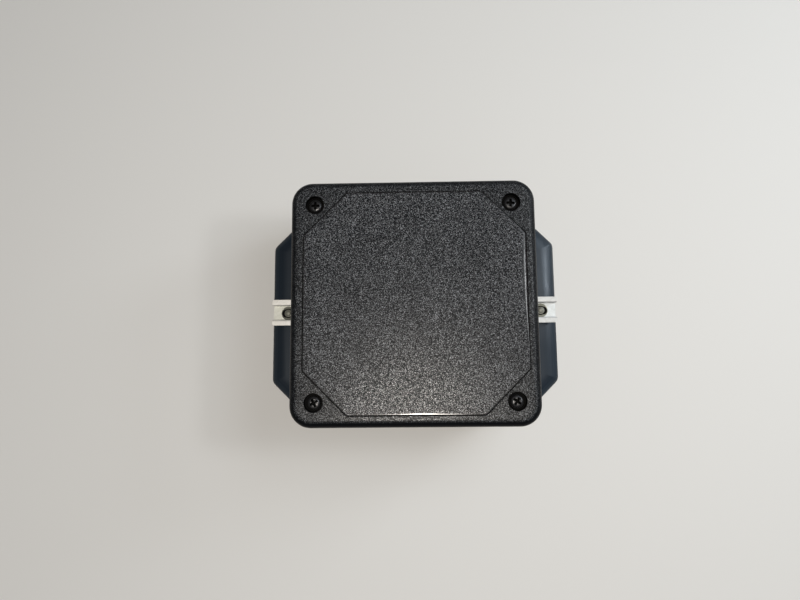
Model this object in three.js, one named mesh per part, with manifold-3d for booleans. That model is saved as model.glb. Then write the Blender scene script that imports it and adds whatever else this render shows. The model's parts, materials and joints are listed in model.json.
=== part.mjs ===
// A lidar scanner module: a sealed square housing, clipped to a 15 mm top-hat rail that is riveted
// to a bracket. Millimetres, +Z up. The origin is the middle of the bracket's underside, which is
// fixed to a wall or a bench.
// +X runs along the rail, -Y is the side that the scanner looks out of, and +Y is the side of the
// connectors.
import * as THREE from "three";
import { mergeVertices } from "three/addons/utils/BufferGeometryUtils.js";
import Module from "manifold-3d";

const wasm = await Module();
wasm.setup();

// ---------------------------------------------------------------- driving dimensions

const TURN = Math.PI * 2;
const CUT = 1; // how far a cutting tool runs past the surface that it cuts, and one piece into the next
const SEAT = 0.05; // the gap between two parts that rest on each other
const FIT = 0.15; // the gap round a shank or a barrel in its hole
const PLAY = 0.3; // the gap beside a part that slides, turns or drops in

const BRACKET = { length: 168, width: 124, height: 6, chamfer: 21.6, corner: 5 };
const BRACKET_EDGE = { reach: 9, drop: 4.6 }; // the long soft rounding all along its upper edge
const FIXING_HOLE = { x: 48, y: 42, radius: 3.3, sink: 6.5, sinkDepth: 2.5 };

const RAIL = { length: 165.5, width: 15, hat: 10.5, height: 5.5, sheet: 1, bend: 0.9, corner: 1.2 };
const SLOT = { width: 4.9, length: 12.1, count: 8, span: 144 };
const DIMPLE = { radius: 4.1, depth: 0.3 };
const RIVET = { x: 74.2, shank: 2.05, flange: 4.7, flangeDepth: 1, sunk: 3.8, head: 2.7, headHeight: 1.7 };
const RIVET_CROWN = { radius: 1.6, shoulder: 0.7 };
const RIVET_HOLE = { x: 73.8, length: 9, width: 4.4 }; // long, so that the rail's place can be set

const BASE = { side: 124, corner: 10, bottom: 14, top: 45, wall: 3, floor: 3, chamfer: 1.5 };
const LID = { side: 126, corner: 11, bottom: 45.3, top: 58.3, wall: 3, roof: 2.5, edge: 4 };
const PANEL = { inset: 6.3, chamfer: 22.2, corner: 1.6, rise: 0.7, bevel: 0.6 };
const PANEL_GROOVE = { width: 0.6, depth: 0.5 };
const GASKET = { side: 121, width: 1.4, depth: 1.2, room: 0.1 };

const LID_SCREW = { at: 50.5, head: 3.4, headHeight: 2.3, shank: 1.65, length: 20, clearance: 2.1 };
const LID_SCREW_TURNS = [-2, 1, 28, -35]; // degrees, how far round each one came to rest
const LID_RECESS = { reach: 2.25, width: 1.4, depth: 1.9 };
const COUNTERBORE = { radius: 4.5, depth: 3.8 };
const CORNER_POST = { base: 5.5, lid: 7.5, web: 3, pilot: 1.75, pilotDepth: 16 };

const WINDOW = { width: 90, height: 24.2, depth: 2.3, corner: 5, middle: 30.2, sunk: 0.1 };
const WINDOW_SEAL = { depth: 0.8, inside: 0.5 };
const APERTURE = { width: 82, height: 19.5, corner: 3, frame: 6, frameSide: 2.5 };

const PORT = { x: 28, z: 29, barrel: 5.8, flange: 8, flangeDepth: 2, reach: 5, bore: 4.6, inside: 10.5 };
const PORT_THREAD = { depth: 0.45, pitch: 1.3 };
const PORT_INSERT = { length: 18.3, key: 0.6, keyDepth: 1, keyLength: 4 };
const PORT_NUT = { acrossFlats: 16, depth: 3 };
const PORT_SEAL = { radius: 7.6, depth: 0.6 };
const PIN_HOLE = { radius: 0.55, circle: 2.4, depth: 5, count: 4 };
const VENT = { z: 31, head: 5, headHeight: 2, stem: 2.8, barb: 0.5, length: 5.5, slit: 0.7 };
const LIGHT_PIPE = { x: 11, z: 22, radius: 1.4, length: 9, dome: 0.85 };

const FOOT = { half: 30, rear: 24, front: -46, bottom: 11.6, hook: 8.4, hookWall: 3, grip: 1.6 };
const FOOT_GUIDE = { bottom: 7, wall: 2.5, front: -44, rear: -13, keeper: 2.8, keeperRear: -31 };
const FOOT_SCREW = { x: 24, rear: 18, front: -38, shank: 1.4, head: 2.8, sink: 1.5, length: 4.6 };
const FOOT_RECESS = { reach: 1.5, width: 0.6, depth: 0.9 };
const LATCH = { half: 12.1, front: -58, bottom: 8.4, top: 11.3, tab: 2, tabDrop: 1.2 };
const LATCH_WAIST = { depth: 3, length: 7.4 };
const LATCH_SLOT = { length: 8, width: 3, inset: 4 };
const SPRING = { front: -26.9, rear: -16.1, radius: 1.05, wire: 0.3, turns: 6, room: 2.1, stop: 2 };

const MIRROR = { x: -12, y: -18, sides: 6, apothem: 17, bottom: 21.5, top: 40.5, bore: 11.8, boreTop: 34 };
const MIRROR_FACE = { radius: 8, depth: 0.8, hub: 2.2 };
const ROTOR = { outer: 11.6, inner: 11, bottom: 21.8, top: 33.8, roof: 0.8, shaft: 1.5 };
const MAGNET = { inner: 9.7, bottom: 22.1, top: 32.4 };
const ENCODER = { outer: 14.5, inner: 7, thickness: 0.6 };
const ENCODER_SLOT = { count: 18, inner: 11, outer: 13.4, width: 0.8 };
const MOTOR = { plate: 12.5, plateDepth: 1.6, bottom: 19.3, tube: 4.6, tubeTop: 32.2 };
const BEARING = { radius: 3.4, height: 2.6, shield: 0.25, shieldInner: 2, shieldOuter: 2.9 };
const STATOR = { bottom: 23.2, top: 31.2, hub: 5.9, reach: 9.1 };
const TOOTH = { count: 9, width: 1.8, pole: 4.2, poleDepth: 0.9 };

const BEAM = { y: -30, receiverZ: 27.2, emitterZ: 37.6 };
const DECK = { half: 44.5, front: -53, rear: 3, thickness: 2.05, hole: 4 };
const OPTICS = { near: 22, far: 38, front: -42, rear: -18, top: 42, wall: 4, relief: 3.5, base: 4.8 };
const RECEIVER = { bore: 7, edge: 1.6, bulge: 1.3, can: 4.6, flange: 5.6, canDepth: 5 };
const EMITTER = { bore: 3.1, edge: 1, bulge: 0.6, can: 2.2, flange: 2.8, canDepth: 4.5 };
const CARD = { x: 38.3, thickness: 1.6, front: -44.5, rear: -15.5, bottom: 19.4, top: 43.5 };
const CARD_HOLE = { radius: 1.3, edge: 3 };
const SENSOR_ARM = { x: -41, width: 8, y: -22, wall: 3.5, reach: 19, top: 45, thickness: 1.4, toe: 4 };
const SENSOR = { x: -28, y: -20.5, size: 5, bottom: 41.8, height: 1.7 };

const BOARD = { half: 45, front: 7, rear: 50.5, bottom: 20, thickness: 1.6 };
const BOARD_SCREW = { x: 40, front: 12, rear: 44, head: 2.6, headHeight: 1.7, shank: 1.15, length: 4 };
const BOARD_HOLE = 1.6;
const BOARD_RECESS = { reach: 1.4, width: 0.6, depth: 0.9 };
const STANDOFF = { radius: 3.2, pilot: 1.3, pilotDepth: 3 };
const CAPACITOR = { at: [-33, 29], radius: 4, height: 10, crimp: 0.3, crimpAt: 1.2 };
const PROCESSOR = { size: [17, 17, 1.6], at: [6, 26] };
const TRANSFORMER = { size: [15, 9, 6], at: [24, 38] };
const INDUCTOR = { size: [10, 10, 5], at: [-22, 20] };
const HEADER = { size: [12, 4, 4.5], at: [26, 13] };
const RIBBON = { x: 21.5, width: 9, thickness: 0.5, steps: 14, start: [16, 22.2], end: [-16, 46.2] };
const RIBBON_PULL = { start: [16, 50], end: [8, 46.2] };

// Heights and faces that several parts share.
const lipTop = BRACKET.height + RAIL.height;
const lipUnder = lipTop - RAIL.sheet;
const lipEdge = RAIL.width / 2;
const floorTop = BASE.bottom + BASE.floor;
const wallFace = BASE.side / 2;
const deckTop = floorTop + SEAT + DECK.thickness;
const boardTop = BOARD.bottom + BOARD.thickness;
const footTop = BASE.bottom - SEAT;
const sides = [-1, 1];

// ---------------------------------------------------------------- materials

const finish = (color, roughness, metalness) =>
  new THREE.MeshStandardMaterial({ color, roughness, metalness });

const material = {
  grainedPlastic: finish(0x2b2c2e, 0.55, 0),
  housingPlastic: finish(0x232426, 0.5, 0),
  bracket: finish(0x2e343d, 0.38, 0),
  zinc: finish(0xd2d2cc, 0.32, 1),
  rivet: finish(0x86867c, 0.5, 1),
  blackScrew: finish(0x101112, 0.35, 0.6),
  steel: finish(0xb4b6b8, 0.3, 1),
  window: finish(0x0b0507, 0.06, 0),
  rubber: finish(0x141414, 0.8, 0),
  footPlastic: finish(0x3a3c3f, 0.5, 0),
  nickel: finish(0xb9b4a6, 0.28, 1),
  mirror: finish(0xf2f4f5, 0.03, 1),
  aluminium: finish(0xa9acaf, 0.4, 1),
  board: finish(0x12512f, 0.45, 0),
  chip: finish(0x17181a, 0.5, 0),
  lens: finish(0xcfe0ea, 0.03, 0),
  brass: finish(0xc09a4c, 0.3, 1),
  magnet: finish(0x55585c, 0.45, 0.8),
  lightPipe: finish(0xe8f2e8, 0.15, 0),
  cable: finish(0xd9d6cc, 0.55, 0),
};

// ---------------------------------------------------------------- solids and booleans

// A closed three.js geometry as a manifold-3d solid.
function solid(geometry) {
  const bare = new THREE.BufferGeometry();
  const flat = geometry.index ? geometry.toNonIndexed() : geometry;
  bare.setAttribute("position", flat.getAttribute("position"));
  const merged = mergeVertices(bare, 1e-4);
  return new wasm.Manifold(
    new wasm.Mesh({
      numProp: 3,
      vertProperties: merged.attributes.position.array,
      triVerts: new Uint32Array(merged.index.array),
    }),
  );
}

// A manifold-3d solid as a three.js geometry with one normal for each face.
function geometryOf(made) {
  const { numProp, numVert, vertProperties, triVerts } = made.getMesh();
  const points = new Float32Array(numVert * 3);
  for (let i = 0; i < numVert; i++) {
    points.set(vertProperties.subarray(i * numProp, i * numProp + 3), i * 3);
  }
  const indexed = new THREE.BufferGeometry();
  indexed.setAttribute("position", new THREE.BufferAttribute(points, 3));
  indexed.setIndex(new THREE.BufferAttribute(triVerts, 1));
  const flat = indexed.toNonIndexed();
  flat.computeVertexNormals();
  return flat;
}

const join = (...solids) => solids.reduce((all, one) => all.add(one));
const cut = (body, ...tools) => tools.reduce((left, tool) => left.subtract(tool), body);

// ---------------------------------------------------------------- shapes

// The four corners of a rectangle about the origin, anticlockwise.
const corners = (x, y) => [
  [x, y],
  [-x, y],
  [-x, -y],
  [x, -y],
];

// A stretch from a to b outwards from the middle plane, on one side of it.
const outwards = (side, a, b) => (side > 0 ? [a, b] : [-b, -a]);

const vectors = (points) => points.map(([x, y]) => new THREE.Vector2(x, y));

function block([x0, x1], [y0, y1], [z0, z1]) {
  const made = new THREE.BoxGeometry(x1 - x0, y1 - y0, z1 - z0);
  return solid(made.translate((x0 + x1) / 2, (y0 + y1) / 2, (z0 + z1) / 2));
}

// A cylinder that stands along +Z.
function post(x, y, [z0, z1], radius, steps = 20) {
  const made = new THREE.CylinderGeometry(radius, radius, z1 - z0, steps);
  return solid(made.rotateX(Math.PI / 2).translate(x, y, (z0 + z1) / 2));
}

// A cylinder that lies along +Y.
function barY(x, z, [y0, y1], radius, steps = 20) {
  const made = new THREE.CylinderGeometry(radius, radius, y1 - y0, steps);
  return solid(made.translate(x, (y0 + y1) / 2, z));
}

// A cylinder that lies along +X.
function barX(y, z, [x0, x1], radius, steps = 20) {
  const made = new THREE.CylinderGeometry(radius, radius, x1 - x0, steps);
  return solid(made.rotateZ(Math.PI / 2).translate((x0 + x1) / 2, y, z));
}

// A ring about +Z.
function ring([z0, z1], outer, inner, steps = 28) {
  return cut(post(0, 0, [z0, z1], outer, steps), post(0, 0, [z0 - CUT, z1 + CUT], inner, steps));
}

// A turned solid about +Z, from [radius, z] pairs that go upwards along its outside.
function turned(profile, steps = 20) {
  return solid(new THREE.LatheGeometry(vectors(profile), steps).rotateX(Math.PI / 2));
}

// An anticlockwise polygon whose corners are rounded by arcs, each with the same number of points.
function roundedPolygon(points, radius, steps) {
  const outline = [];
  points.forEach((point, i) => {
    const here = new THREE.Vector2(...point);
    const before = new THREE.Vector2(...points.at(i - 1)).sub(here).normalize();
    const after = new THREE.Vector2(...points[(i + 1) % points.length]).sub(here).normalize();
    const half = Math.acos(THREE.MathUtils.clamp(before.dot(after), -1, 1)) / 2;
    const inwards = before.add(after).normalize();
    const centre = here.clone().addScaledVector(inwards, radius / Math.sin(half));
    const swing = Math.PI / 2 - half;
    const middle = Math.atan2(-inwards.y, -inwards.x);
    for (let k = 0; k <= steps; k++) {
      const angle = middle - swing + (2 * swing * k) / steps;
      const spoke = new THREE.Vector2(Math.cos(angle), Math.sin(angle));
      outline.push(centre.clone().addScaledVector(spoke, radius));
    }
  });
  return outline;
}

const roundedRectangle = (width, height, radius, steps = 5) =>
  roundedPolygon(corners(width / 2, height / 2), radius, steps);

// A rectangle whose corners are cut off at 45 degrees, with its eight corners rounded.
function chamferedRectangle(width, height, chamfer, radius) {
  const [x, y] = [width / 2, height / 2];
  const points = [
    [x, y - chamfer],
    [x - chamfer, y],
    [chamfer - x, y],
    [-x, y - chamfer],
    [-x, chamfer - y],
    [chamfer - x, -y],
    [x - chamfer, -y],
    [x, chamfer - y],
  ];
  return roundedPolygon(points, radius, 3);
}

// The outline of a rounded square, as a function of how far in it is set.
const squareOutline = (side, corner) => (inset) =>
  roundedRectangle(side - 2 * inset, side - 2 * inset, Math.max(corner - inset, 0.5));

// The same for a chamfered rectangle.
const chamferedOutline = (width, height, chamfer, corner) => (inset) =>
  chamferedRectangle(
    width - 2 * inset,
    height - 2 * inset,
    chamfer - inset * (2 - Math.SQRT2),
    Math.max(corner - inset, 0.4),
  );

function polygon(count, apothem) {
  const reach = apothem / Math.cos(TURN / count / 2);
  return Array.from({ length: count }, (_, k) => {
    const angle = (TURN * k) / count;
    return new THREE.Vector2(reach * Math.cos(angle), reach * Math.sin(angle));
  });
}

// A solid through a stack of convex outlines with the same number of points, each at its own height.
function loft(rings) {
  const count = rings[0].outline.length;
  const points = [];
  const faces = [];
  rings.forEach(({ outline, z }) => outline.forEach((p) => points.push(p.x, p.y, z)));
  for (let level = 0; level + 1 < rings.length; level++) {
    for (let i = 0; i < count; i++) {
      const a = level * count + i;
      const b = level * count + ((i + 1) % count);
      faces.push(a, b, b + count, a, b + count, a + count);
    }
  }
  const top = (rings.length - 1) * count;
  for (let i = 1; i + 1 < count; i++) {
    faces.push(0, i + 1, i);
    faces.push(top, top + i, top + i + 1);
  }
  const made = new THREE.BufferGeometry();
  made.setAttribute("position", new THREE.Float32BufferAttribute(points, 3));
  made.setIndex(faces);
  return solid(made);
}

const prism = (outline, [z0, z1]) => loft([{ outline, z: z0 }, { outline, z: z1 }]);

// The rings of a slab whose top edge is rounded over by a quarter of an ellipse.
function roundedTop(outlineAt, top, reach, drop, steps) {
  return Array.from({ length: steps + 1 }, (_, k) => {
    const angle = (Math.PI / 2 / steps) * k;
    return { outline: outlineAt(reach * (1 - Math.cos(angle))), z: top - drop * (1 - Math.sin(angle)) };
  });
}

// A slab that stands in the XZ plane, with rounded corners.
function upright({ width, height, corner }, z, [y0, y1]) {
  const flat = prism(roundedRectangle(width, height, corner), [0, y1 - y0]);
  return flat.rotate([90, 0, 0]).translate([0, y1, z]);
}

// Turns a solid made about +Z so that it points along +Y, out of the rear wall.
const towardsRear = (made) => made.rotate([-90, 0, 0]);

// A cross-shaped driver recess that narrows downwards from the given height.
function driverRecess({ reach, width, depth }, top) {
  const wing = loft([
    { outline: vectors(corners(reach * 0.45, width * 0.35)), z: top - depth },
    { outline: vectors(corners(reach, width / 2)), z: top + 0.1 },
  ]);
  return join(wing, wing.rotate([0, 0, 90]));
}

// ---------------------------------------------------------------- bracket and rail

function bracket() {
  const outline = chamferedOutline(BRACKET.length, BRACKET.width, BRACKET.chamfer, BRACKET.corner);
  const { reach, drop } = BRACKET_EDGE;
  const edge = roundedTop(outline, BRACKET.height, reach, drop, 7);
  const plate = loft([{ outline: outline(0), z: 0 }, ...edge]);
  const { x, y, radius, sink, sinkDepth } = FIXING_HOLE;
  const through = [-CUT, BRACKET.height + CUT];
  const fixings = corners(x, y).flatMap(([hx, hy]) => [
    post(hx, hy, through, radius),
    post(hx, hy, [BRACKET.height - sinkDepth, BRACKET.height + CUT], sink, 28),
  ]);
  const hole = RIVET_HOLE;
  const slot = prism(roundedRectangle(hole.length, hole.width, hole.width / 2 - 0.01, 4), through);
  const riveted = sides.flatMap((side) => [
    slot.translate([side * hole.x, 0, 0]),
    post(side * RIVET.x, 0, [-CUT, RIVET.sunk], RIVET.flange + PLAY, 24),
  ]);
  return cut(plate, ...fixings, ...riveted);
}

// The rail: one folded strip of the standard 15 mm section, with a row of slots along its floor.
function rail() {
  const { length, width, hat, height, sheet, bend, corner } = RAIL;
  const [outer, inner] = [hat / 2, hat / 2 - sheet];
  const shape = new THREE.Shape();
  shape.moveTo(-width / 2, height);
  shape.lineTo(-width / 2, height - sheet);
  shape.lineTo(-outer, height - sheet);
  shape.lineTo(-outer, bend);
  shape.quadraticCurveTo(-outer, 0, -outer + bend, 0);
  shape.lineTo(outer - bend, 0);
  shape.quadraticCurveTo(outer, 0, outer, bend);
  shape.lineTo(outer, height - sheet);
  shape.lineTo(width / 2, height - sheet);
  shape.lineTo(width / 2, height);
  shape.lineTo(inner + bend, height);
  shape.quadraticCurveTo(inner, height, inner, height - bend);
  shape.lineTo(inner, sheet);
  shape.lineTo(-inner, sheet);
  shape.lineTo(-inner, height - bend);
  shape.quadraticCurveTo(-inner, height, -inner - bend, height);
  shape.closePath();
  const strip = new THREE.ExtrudeGeometry(shape, { depth: length, bevelEnabled: false, curveSegments: 4 });
  strip.rotateX(Math.PI / 2).rotateZ(Math.PI / 2);
  strip.translate(-length / 2, 0, BRACKET.height + SEAT);
  const top = BRACKET.height + sheet;
  const slots = Array.from({ length: SLOT.count }, (_, k) => {
    const x = -SLOT.span / 2 + (SLOT.span * k) / (SLOT.count - 1);
    const outline = roundedRectangle(SLOT.length, SLOT.width, SLOT.width / 2 - 0.01, 4);
    return prism(outline, [top - sheet - CUT, top + CUT]).translate([x, 0, 0]);
  });
  const channel = block([-length / 2, length / 2], [-inner, inner], [BRACKET.height, lipTop]);
  const dimples = sides.map((side) => {
    const pressed = post(side * RIVET.x, 0, [top + SEAT - DIMPLE.depth, top + CUT], DIMPLE.radius, 28);
    return pressed.intersect(channel);
  });
  const trimmed = prism(roundedRectangle(length, width, corner, 4), [BRACKET.height, lipTop + CUT]);
  return cut(solid(strip).intersect(trimmed), ...slots, ...dimples);
}

// A solid rivet through the end slot: its flange is under the bracket, and its head is in the rail's
// dimple. The head has a thin shoulder that spans the slot, and a small crown in the middle.
function rivet() {
  const { shank, flange, flangeDepth, sunk, head, headHeight } = RIVET;
  const flangeTop = sunk - SEAT;
  const seat = BRACKET.height + RAIL.sheet - DIMPLE.depth + 2 * SEAT;
  const top = seat + headHeight;
  const { radius, shoulder } = RIVET_CROWN;
  return turned(
    [
      [0, flangeTop - flangeDepth],
      [flange, flangeTop - flangeDepth / 2],
      [flange, flangeTop],
      [shank, flangeTop],
      [shank, seat],
      [head, seat],
      [head, seat + shoulder * 0.6],
      [head * 0.9, seat + shoulder],
      [radius, seat + shoulder],
      [radius, top - headHeight * 0.2],
      [radius * 0.8, top - headHeight * 0.05],
      [radius * 0.4, top],
      [0, top],
    ],
    24,
  );
}

// ---------------------------------------------------------------- housing

const cornerPoints = corners(LID_SCREW.at, LID_SCREW.at);
const fourPoints = ({ x, front, rear }) => [front, rear].flatMap((y) => sides.map((side) => [side * x, y]));
const boardPoints = fourPoints(BOARD_SCREW);
const footPoints = fourPoints(FOOT_SCREW);

// A ring that follows the middle of the housing's wall.
function wallRing(width, [z0, z1]) {
  const outline = squareOutline(GASKET.side, BASE.corner - BASE.wall / 2);
  return cut(prism(outline(-width / 2), [z0, z1]), prism(outline(width / 2), [z0 - CUT, z1 + CUT]));
}

// A screw post in a corner of the housing, tied to both walls by webs.
function cornerPost([x, y]) {
  const reach = wallFace - BASE.wall / 2;
  const height = [floorTop - CUT, BASE.top];
  const half = CORNER_POST.web / 2;
  return join(
    post(x, y, height, CORNER_POST.base),
    block(outwards(Math.sign(x), Math.abs(x), reach), [y - half, y + half], height),
    block([x - half, x + half], outwards(Math.sign(y), Math.abs(y), reach), height),
  );
}

// The lower housing: a tray with a window frame in front, connector holes behind and a screw post in
// each corner.
function baseHousing() {
  const outline = squareOutline(BASE.side, BASE.corner);
  const shell = loft([
    { outline: outline(BASE.chamfer), z: BASE.bottom },
    { outline: outline(0), z: BASE.bottom + BASE.chamfer },
    { outline: outline(0), z: BASE.top },
  ]);
  const tray = cut(shell, prism(outline(BASE.wall), [floorTop, BASE.top + CUT]));
  const frameHalf = WINDOW.width / 2 + APERTURE.frameSide;
  const frame = block(
    [-frameHalf, frameHalf],
    [CUT - wallFace, APERTURE.frame - wallFace],
    [floorTop - CUT, BASE.top],
  );
  const standoffs = boardPoints.map(([x, y]) =>
    post(x, y, [floorTop - CUT, BOARD.bottom - SEAT], STANDOFF.radius, 16),
  );
  const room = {
    width: WINDOW.width + 2 * PLAY,
    height: WINDOW.height + 2 * PLAY,
    corner: WINDOW.corner + PLAY,
  };
  const recessDepth = WINDOW.sunk + WINDOW.depth + WINDOW_SEAL.depth + 2 * SEAT;
  const rearWall = [wallFace - 2 * BASE.wall, wallFace + CUT];
  return cut(
    join(tray, frame, ...cornerPoints.map(cornerPost), ...standoffs),
    upright(room, WINDOW.middle, [-wallFace - CUT, recessDepth - wallFace]),
    upright(APERTURE, WINDOW.middle, [-wallFace - CUT, APERTURE.frame + CUT - wallFace]),
    wallRing(GASKET.width + 2 * GASKET.room, [BASE.top - GASKET.depth, BASE.top + CUT]),
    ...cornerPoints.map(([x, y]) =>
      post(x, y, [BASE.top - CORNER_POST.pilotDepth, BASE.top + CUT], CORNER_POST.pilot, 12),
    ),
    ...boardPoints.map(([x, y]) =>
      post(x, y, [BOARD.bottom - STANDOFF.pilotDepth, BOARD.bottom + CUT], STANDOFF.pilot, 12),
    ),
    ...footPoints.map(([x, y]) =>
      post(x, y, [BASE.bottom - CUT, FOOT.bottom + FOOT_SCREW.length + PLAY], FOOT_SCREW.shank + FIT, 12),
    ),
    ...sides.map((side) => barY(side * PORT.x, PORT.z, rearWall, PORT.barrel + FIT, 24)),
    ...sides.map((side) => barY(side * LIGHT_PIPE.x, LIGHT_PIPE.z, rearWall, LIGHT_PIPE.radius + FIT, 12)),
    barY(0, VENT.z, rearWall, VENT.stem + FIT),
  );
}

const lidGasket = () => wallRing(GASKET.width, [BASE.top - GASKET.depth + SEAT, LID.bottom - SEAT]);

// The lid: a shallow cap with a rounded edge, a low raised panel with cut-off corners, and four sunk
// screw holes.
function lid() {
  const outline = squareOutline(LID.side, LID.corner);
  const edge = roundedTop(outline, LID.top, LID.edge, LID.edge, 6);
  const cap = loft([{ outline: outline(0), z: LID.bottom }, ...edge]);
  const hollow = prism(outline(LID.wall), [LID.bottom - CUT, LID.top - LID.roof]);
  const panelSide = LID.side - 2 * PANEL.inset;
  const panel = chamferedOutline(panelSide, panelSide, PANEL.chamfer, PANEL.corner);
  const groove = cut(
    prism(panel(-PANEL_GROOVE.width), [LID.top - PANEL_GROOVE.depth, LID.top + CUT]),
    prism(panel(0), [LID.top - CUT, LID.top + 2 * CUT]),
  );
  const raised = loft([
    { outline: panel(0), z: LID.top - CUT },
    { outline: panel(0), z: LID.top + PANEL.rise * 0.3 },
    { outline: panel(PANEL.bevel / 3), z: LID.top + PANEL.rise * 0.75 },
    { outline: panel(PANEL.bevel), z: LID.top + PANEL.rise },
  ]);
  const bosses = cornerPoints.map(([x, y]) => post(x, y, [LID.bottom, LID.top - CUT], CORNER_POST.lid, 24));
  const holes = cornerPoints.flatMap(([x, y]) => [
    post(x, y, [LID.bottom - CUT, LID.top], LID_SCREW.clearance, 16),
    post(x, y, [LID.top - COUNTERBORE.depth, LID.top + CUT], COUNTERBORE.radius, 32),
  ]);
  return cut(join(cut(cap, hollow, groove), raised, ...bosses), ...holes);
}

// A pan-head screw. Its head rests at z = 0 and its shank points down.
function lidScrew() {
  const { head, headHeight, shank, length } = LID_SCREW;
  const body = turned(
    [
      [0, -length],
      [shank * 0.6, -length],
      [shank, -length + shank],
      [shank, 0],
      [head, 0],
      [head, headHeight * 0.45],
      [head * 0.86, headHeight * 0.82],
      [head * 0.6, headHeight],
      [0, headHeight],
    ],
    24,
  );
  return cut(body, driverRecess(LID_RECESS, headHeight));
}

function scanWindow() {
  const face = WINDOW.sunk - wallFace;
  return upright(WINDOW, WINDOW.middle, [face, face + WINDOW.depth]);
}

function windowSeal() {
  const back = WINDOW.sunk + WINDOW.depth + SEAT - wallFace;
  const inner = {
    width: APERTURE.width + 2 * WINDOW_SEAL.inside,
    height: APERTURE.height + 2 * WINDOW_SEAL.inside,
    corner: APERTURE.corner + WINDOW_SEAL.inside,
  };
  return cut(
    upright(WINDOW, WINDOW.middle, [back, back + WINDOW_SEAL.depth]),
    upright(inner, WINDOW.middle, [back - CUT, back + 2 * CUT]),
  );
}

// ---------------------------------------------------------------- connectors and rear fittings
// Each is made about its own axis, with the rear wall's outer face at z = 0.

function portShell() {
  const { barrel, flange, flangeDepth, reach, bore, inside } = PORT;
  const seat = PORT_SEAL.depth + SEAT;
  const end = seat + flangeDepth + reach;
  const root = barrel - PORT_THREAD.depth;
  const count = Math.floor((reach - PORT_THREAD.pitch) / PORT_THREAD.pitch);
  const thread = Array.from({ length: count }, (_, k) => {
    const z = seat + flangeDepth + PORT_THREAD.pitch * (k + 0.5);
    return [
      [root, z],
      [barrel, z + PORT_THREAD.pitch * 0.4],
      [root, z + PORT_THREAD.pitch * 0.8],
    ];
  });
  return towardsRear(
    turned(
      [
        [bore, -inside],
        [barrel, -inside],
        [barrel, seat],
        [flange, seat],
        [flange, seat + flangeDepth * 0.75],
        [flange - flangeDepth * 0.25, seat + flangeDepth],
        [root, seat + flangeDepth],
        ...thread.flat(),
        [root, end],
        [bore, end],
        [bore, -inside],
      ],
      24,
    ),
  );
}

// The insulator inside a connector's shell, with its contact holes and its key slot.
function portInsert() {
  const { length, key, keyDepth, keyLength } = PORT_INSERT;
  const end = length - PORT.inside;
  const radius = PORT.bore - FIT;
  const holes = Array.from({ length: PIN_HOLE.count }, (_, k) => {
    const angle = (TURN * (k + 0.5)) / PIN_HOLE.count;
    const [x, y] = [PIN_HOLE.circle * Math.cos(angle), PIN_HOLE.circle * Math.sin(angle)];
    return post(x, y, [end - PIN_HOLE.depth, end + CUT], PIN_HOLE.radius, 10);
  });
  const keySlot = block([-key, key], [radius - keyDepth, radius + CUT], [end - keyLength, end + CUT]);
  return towardsRear(cut(post(0, 0, [-PORT.inside, end], radius, 24), ...holes, keySlot));
}

function portNut() {
  const nut = prism(polygon(6, PORT_NUT.acrossFlats / 2), [0, PORT_NUT.depth]);
  return towardsRear(cut(nut, post(0, 0, [-CUT, PORT_NUT.depth + CUT], PORT.barrel + FIT, 24)));
}

const portSeal = () => towardsRear(ring([SEAT, PORT_SEAL.depth], PORT_SEAL.radius, PORT.barrel + FIT, 24));

// The vent: a snap-in plug with three crossed slits in its cap.
function ventPlug() {
  const { head, headHeight, stem, barb, length, slit } = VENT;
  const behind = -BASE.wall - PLAY;
  const body = turned([
    [0, -length],
    [stem - barb, -length],
    [stem + barb, behind - barb],
    [stem, behind],
    [stem, SEAT],
    [head, SEAT],
    [head, headHeight * 0.6],
    [head - 0.4 * headHeight, headHeight],
    [0, headHeight],
  ]);
  const across = block([-head, head], [-slit / 2, slit / 2], [headHeight - slit, headHeight + CUT]);
  const slits = [0, 60, 120].map((angle) => across.rotate([0, 0, angle]));
  return towardsRear(cut(body, ...slits));
}

function lightPipe() {
  const { radius, length, dome } = LIGHT_PIPE;
  const profile = [
    [0, -length],
    [radius, -length],
    [radius, dome * 0.3],
    [radius * 0.7, dome * 0.8],
    [0, dome],
  ];
  return towardsRear(turned(profile, 12));
}

// ---------------------------------------------------------------- rail clip

// The foot under the housing: a plate with a fixed hook for one lip of the rail, and a guide for the latch.
function railFoot() {
  const { half, rear, front, bottom, hook, hookWall, grip } = FOOT;
  const wall = lipEdge + PLAY;
  const plate = block([-half, half], [front, rear], [bottom, footTop]);
  const hookPost = block([-half, half], [wall, wall + hookWall], [hook, bottom + CUT]);
  const hookNose = block([-half, half], [lipEdge - grip, wall + CUT], [hook, lipUnder - PLAY]);
  const guide = FOOT_GUIDE;
  const guideInner = LATCH.half + PLAY;
  const guideOuter = guideInner + guide.wall;
  const guides = sides.flatMap((side) => [
    block(outwards(side, guideInner, guideOuter), [guide.front, guide.rear], [guide.bottom, bottom + CUT]),
    block(
      outwards(side, guideInner - guide.keeper, guideOuter),
      [guide.front + 2, guide.keeperRear],
      [guide.bottom, LATCH.bottom - PLAY],
    ),
  ]);
  const stopRear = SPRING.front - PLAY / 3;
  const stop = block(
    [PLAY - SPRING.room, SPRING.room - PLAY],
    [stopRear - SPRING.stop, stopRear],
    [LATCH.bottom + PLAY, bottom + CUT],
  );
  const holes = footPoints.map(([x, y]) =>
    turned([
      [0, bottom - CUT],
      [FOOT_SCREW.head + FIT, bottom - CUT],
      [FOOT_SCREW.head + FIT, bottom],
      [FOOT_SCREW.shank + FIT, bottom + FOOT_SCREW.sink],
      [FOOT_SCREW.shank + FIT, footTop + CUT],
      [0, footTop + CUT],
    ]).translate([x, y, 0]),
  );
  return cut(join(plate, hookPost, hookNose, ...guides, stop), ...holes);
}

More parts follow.
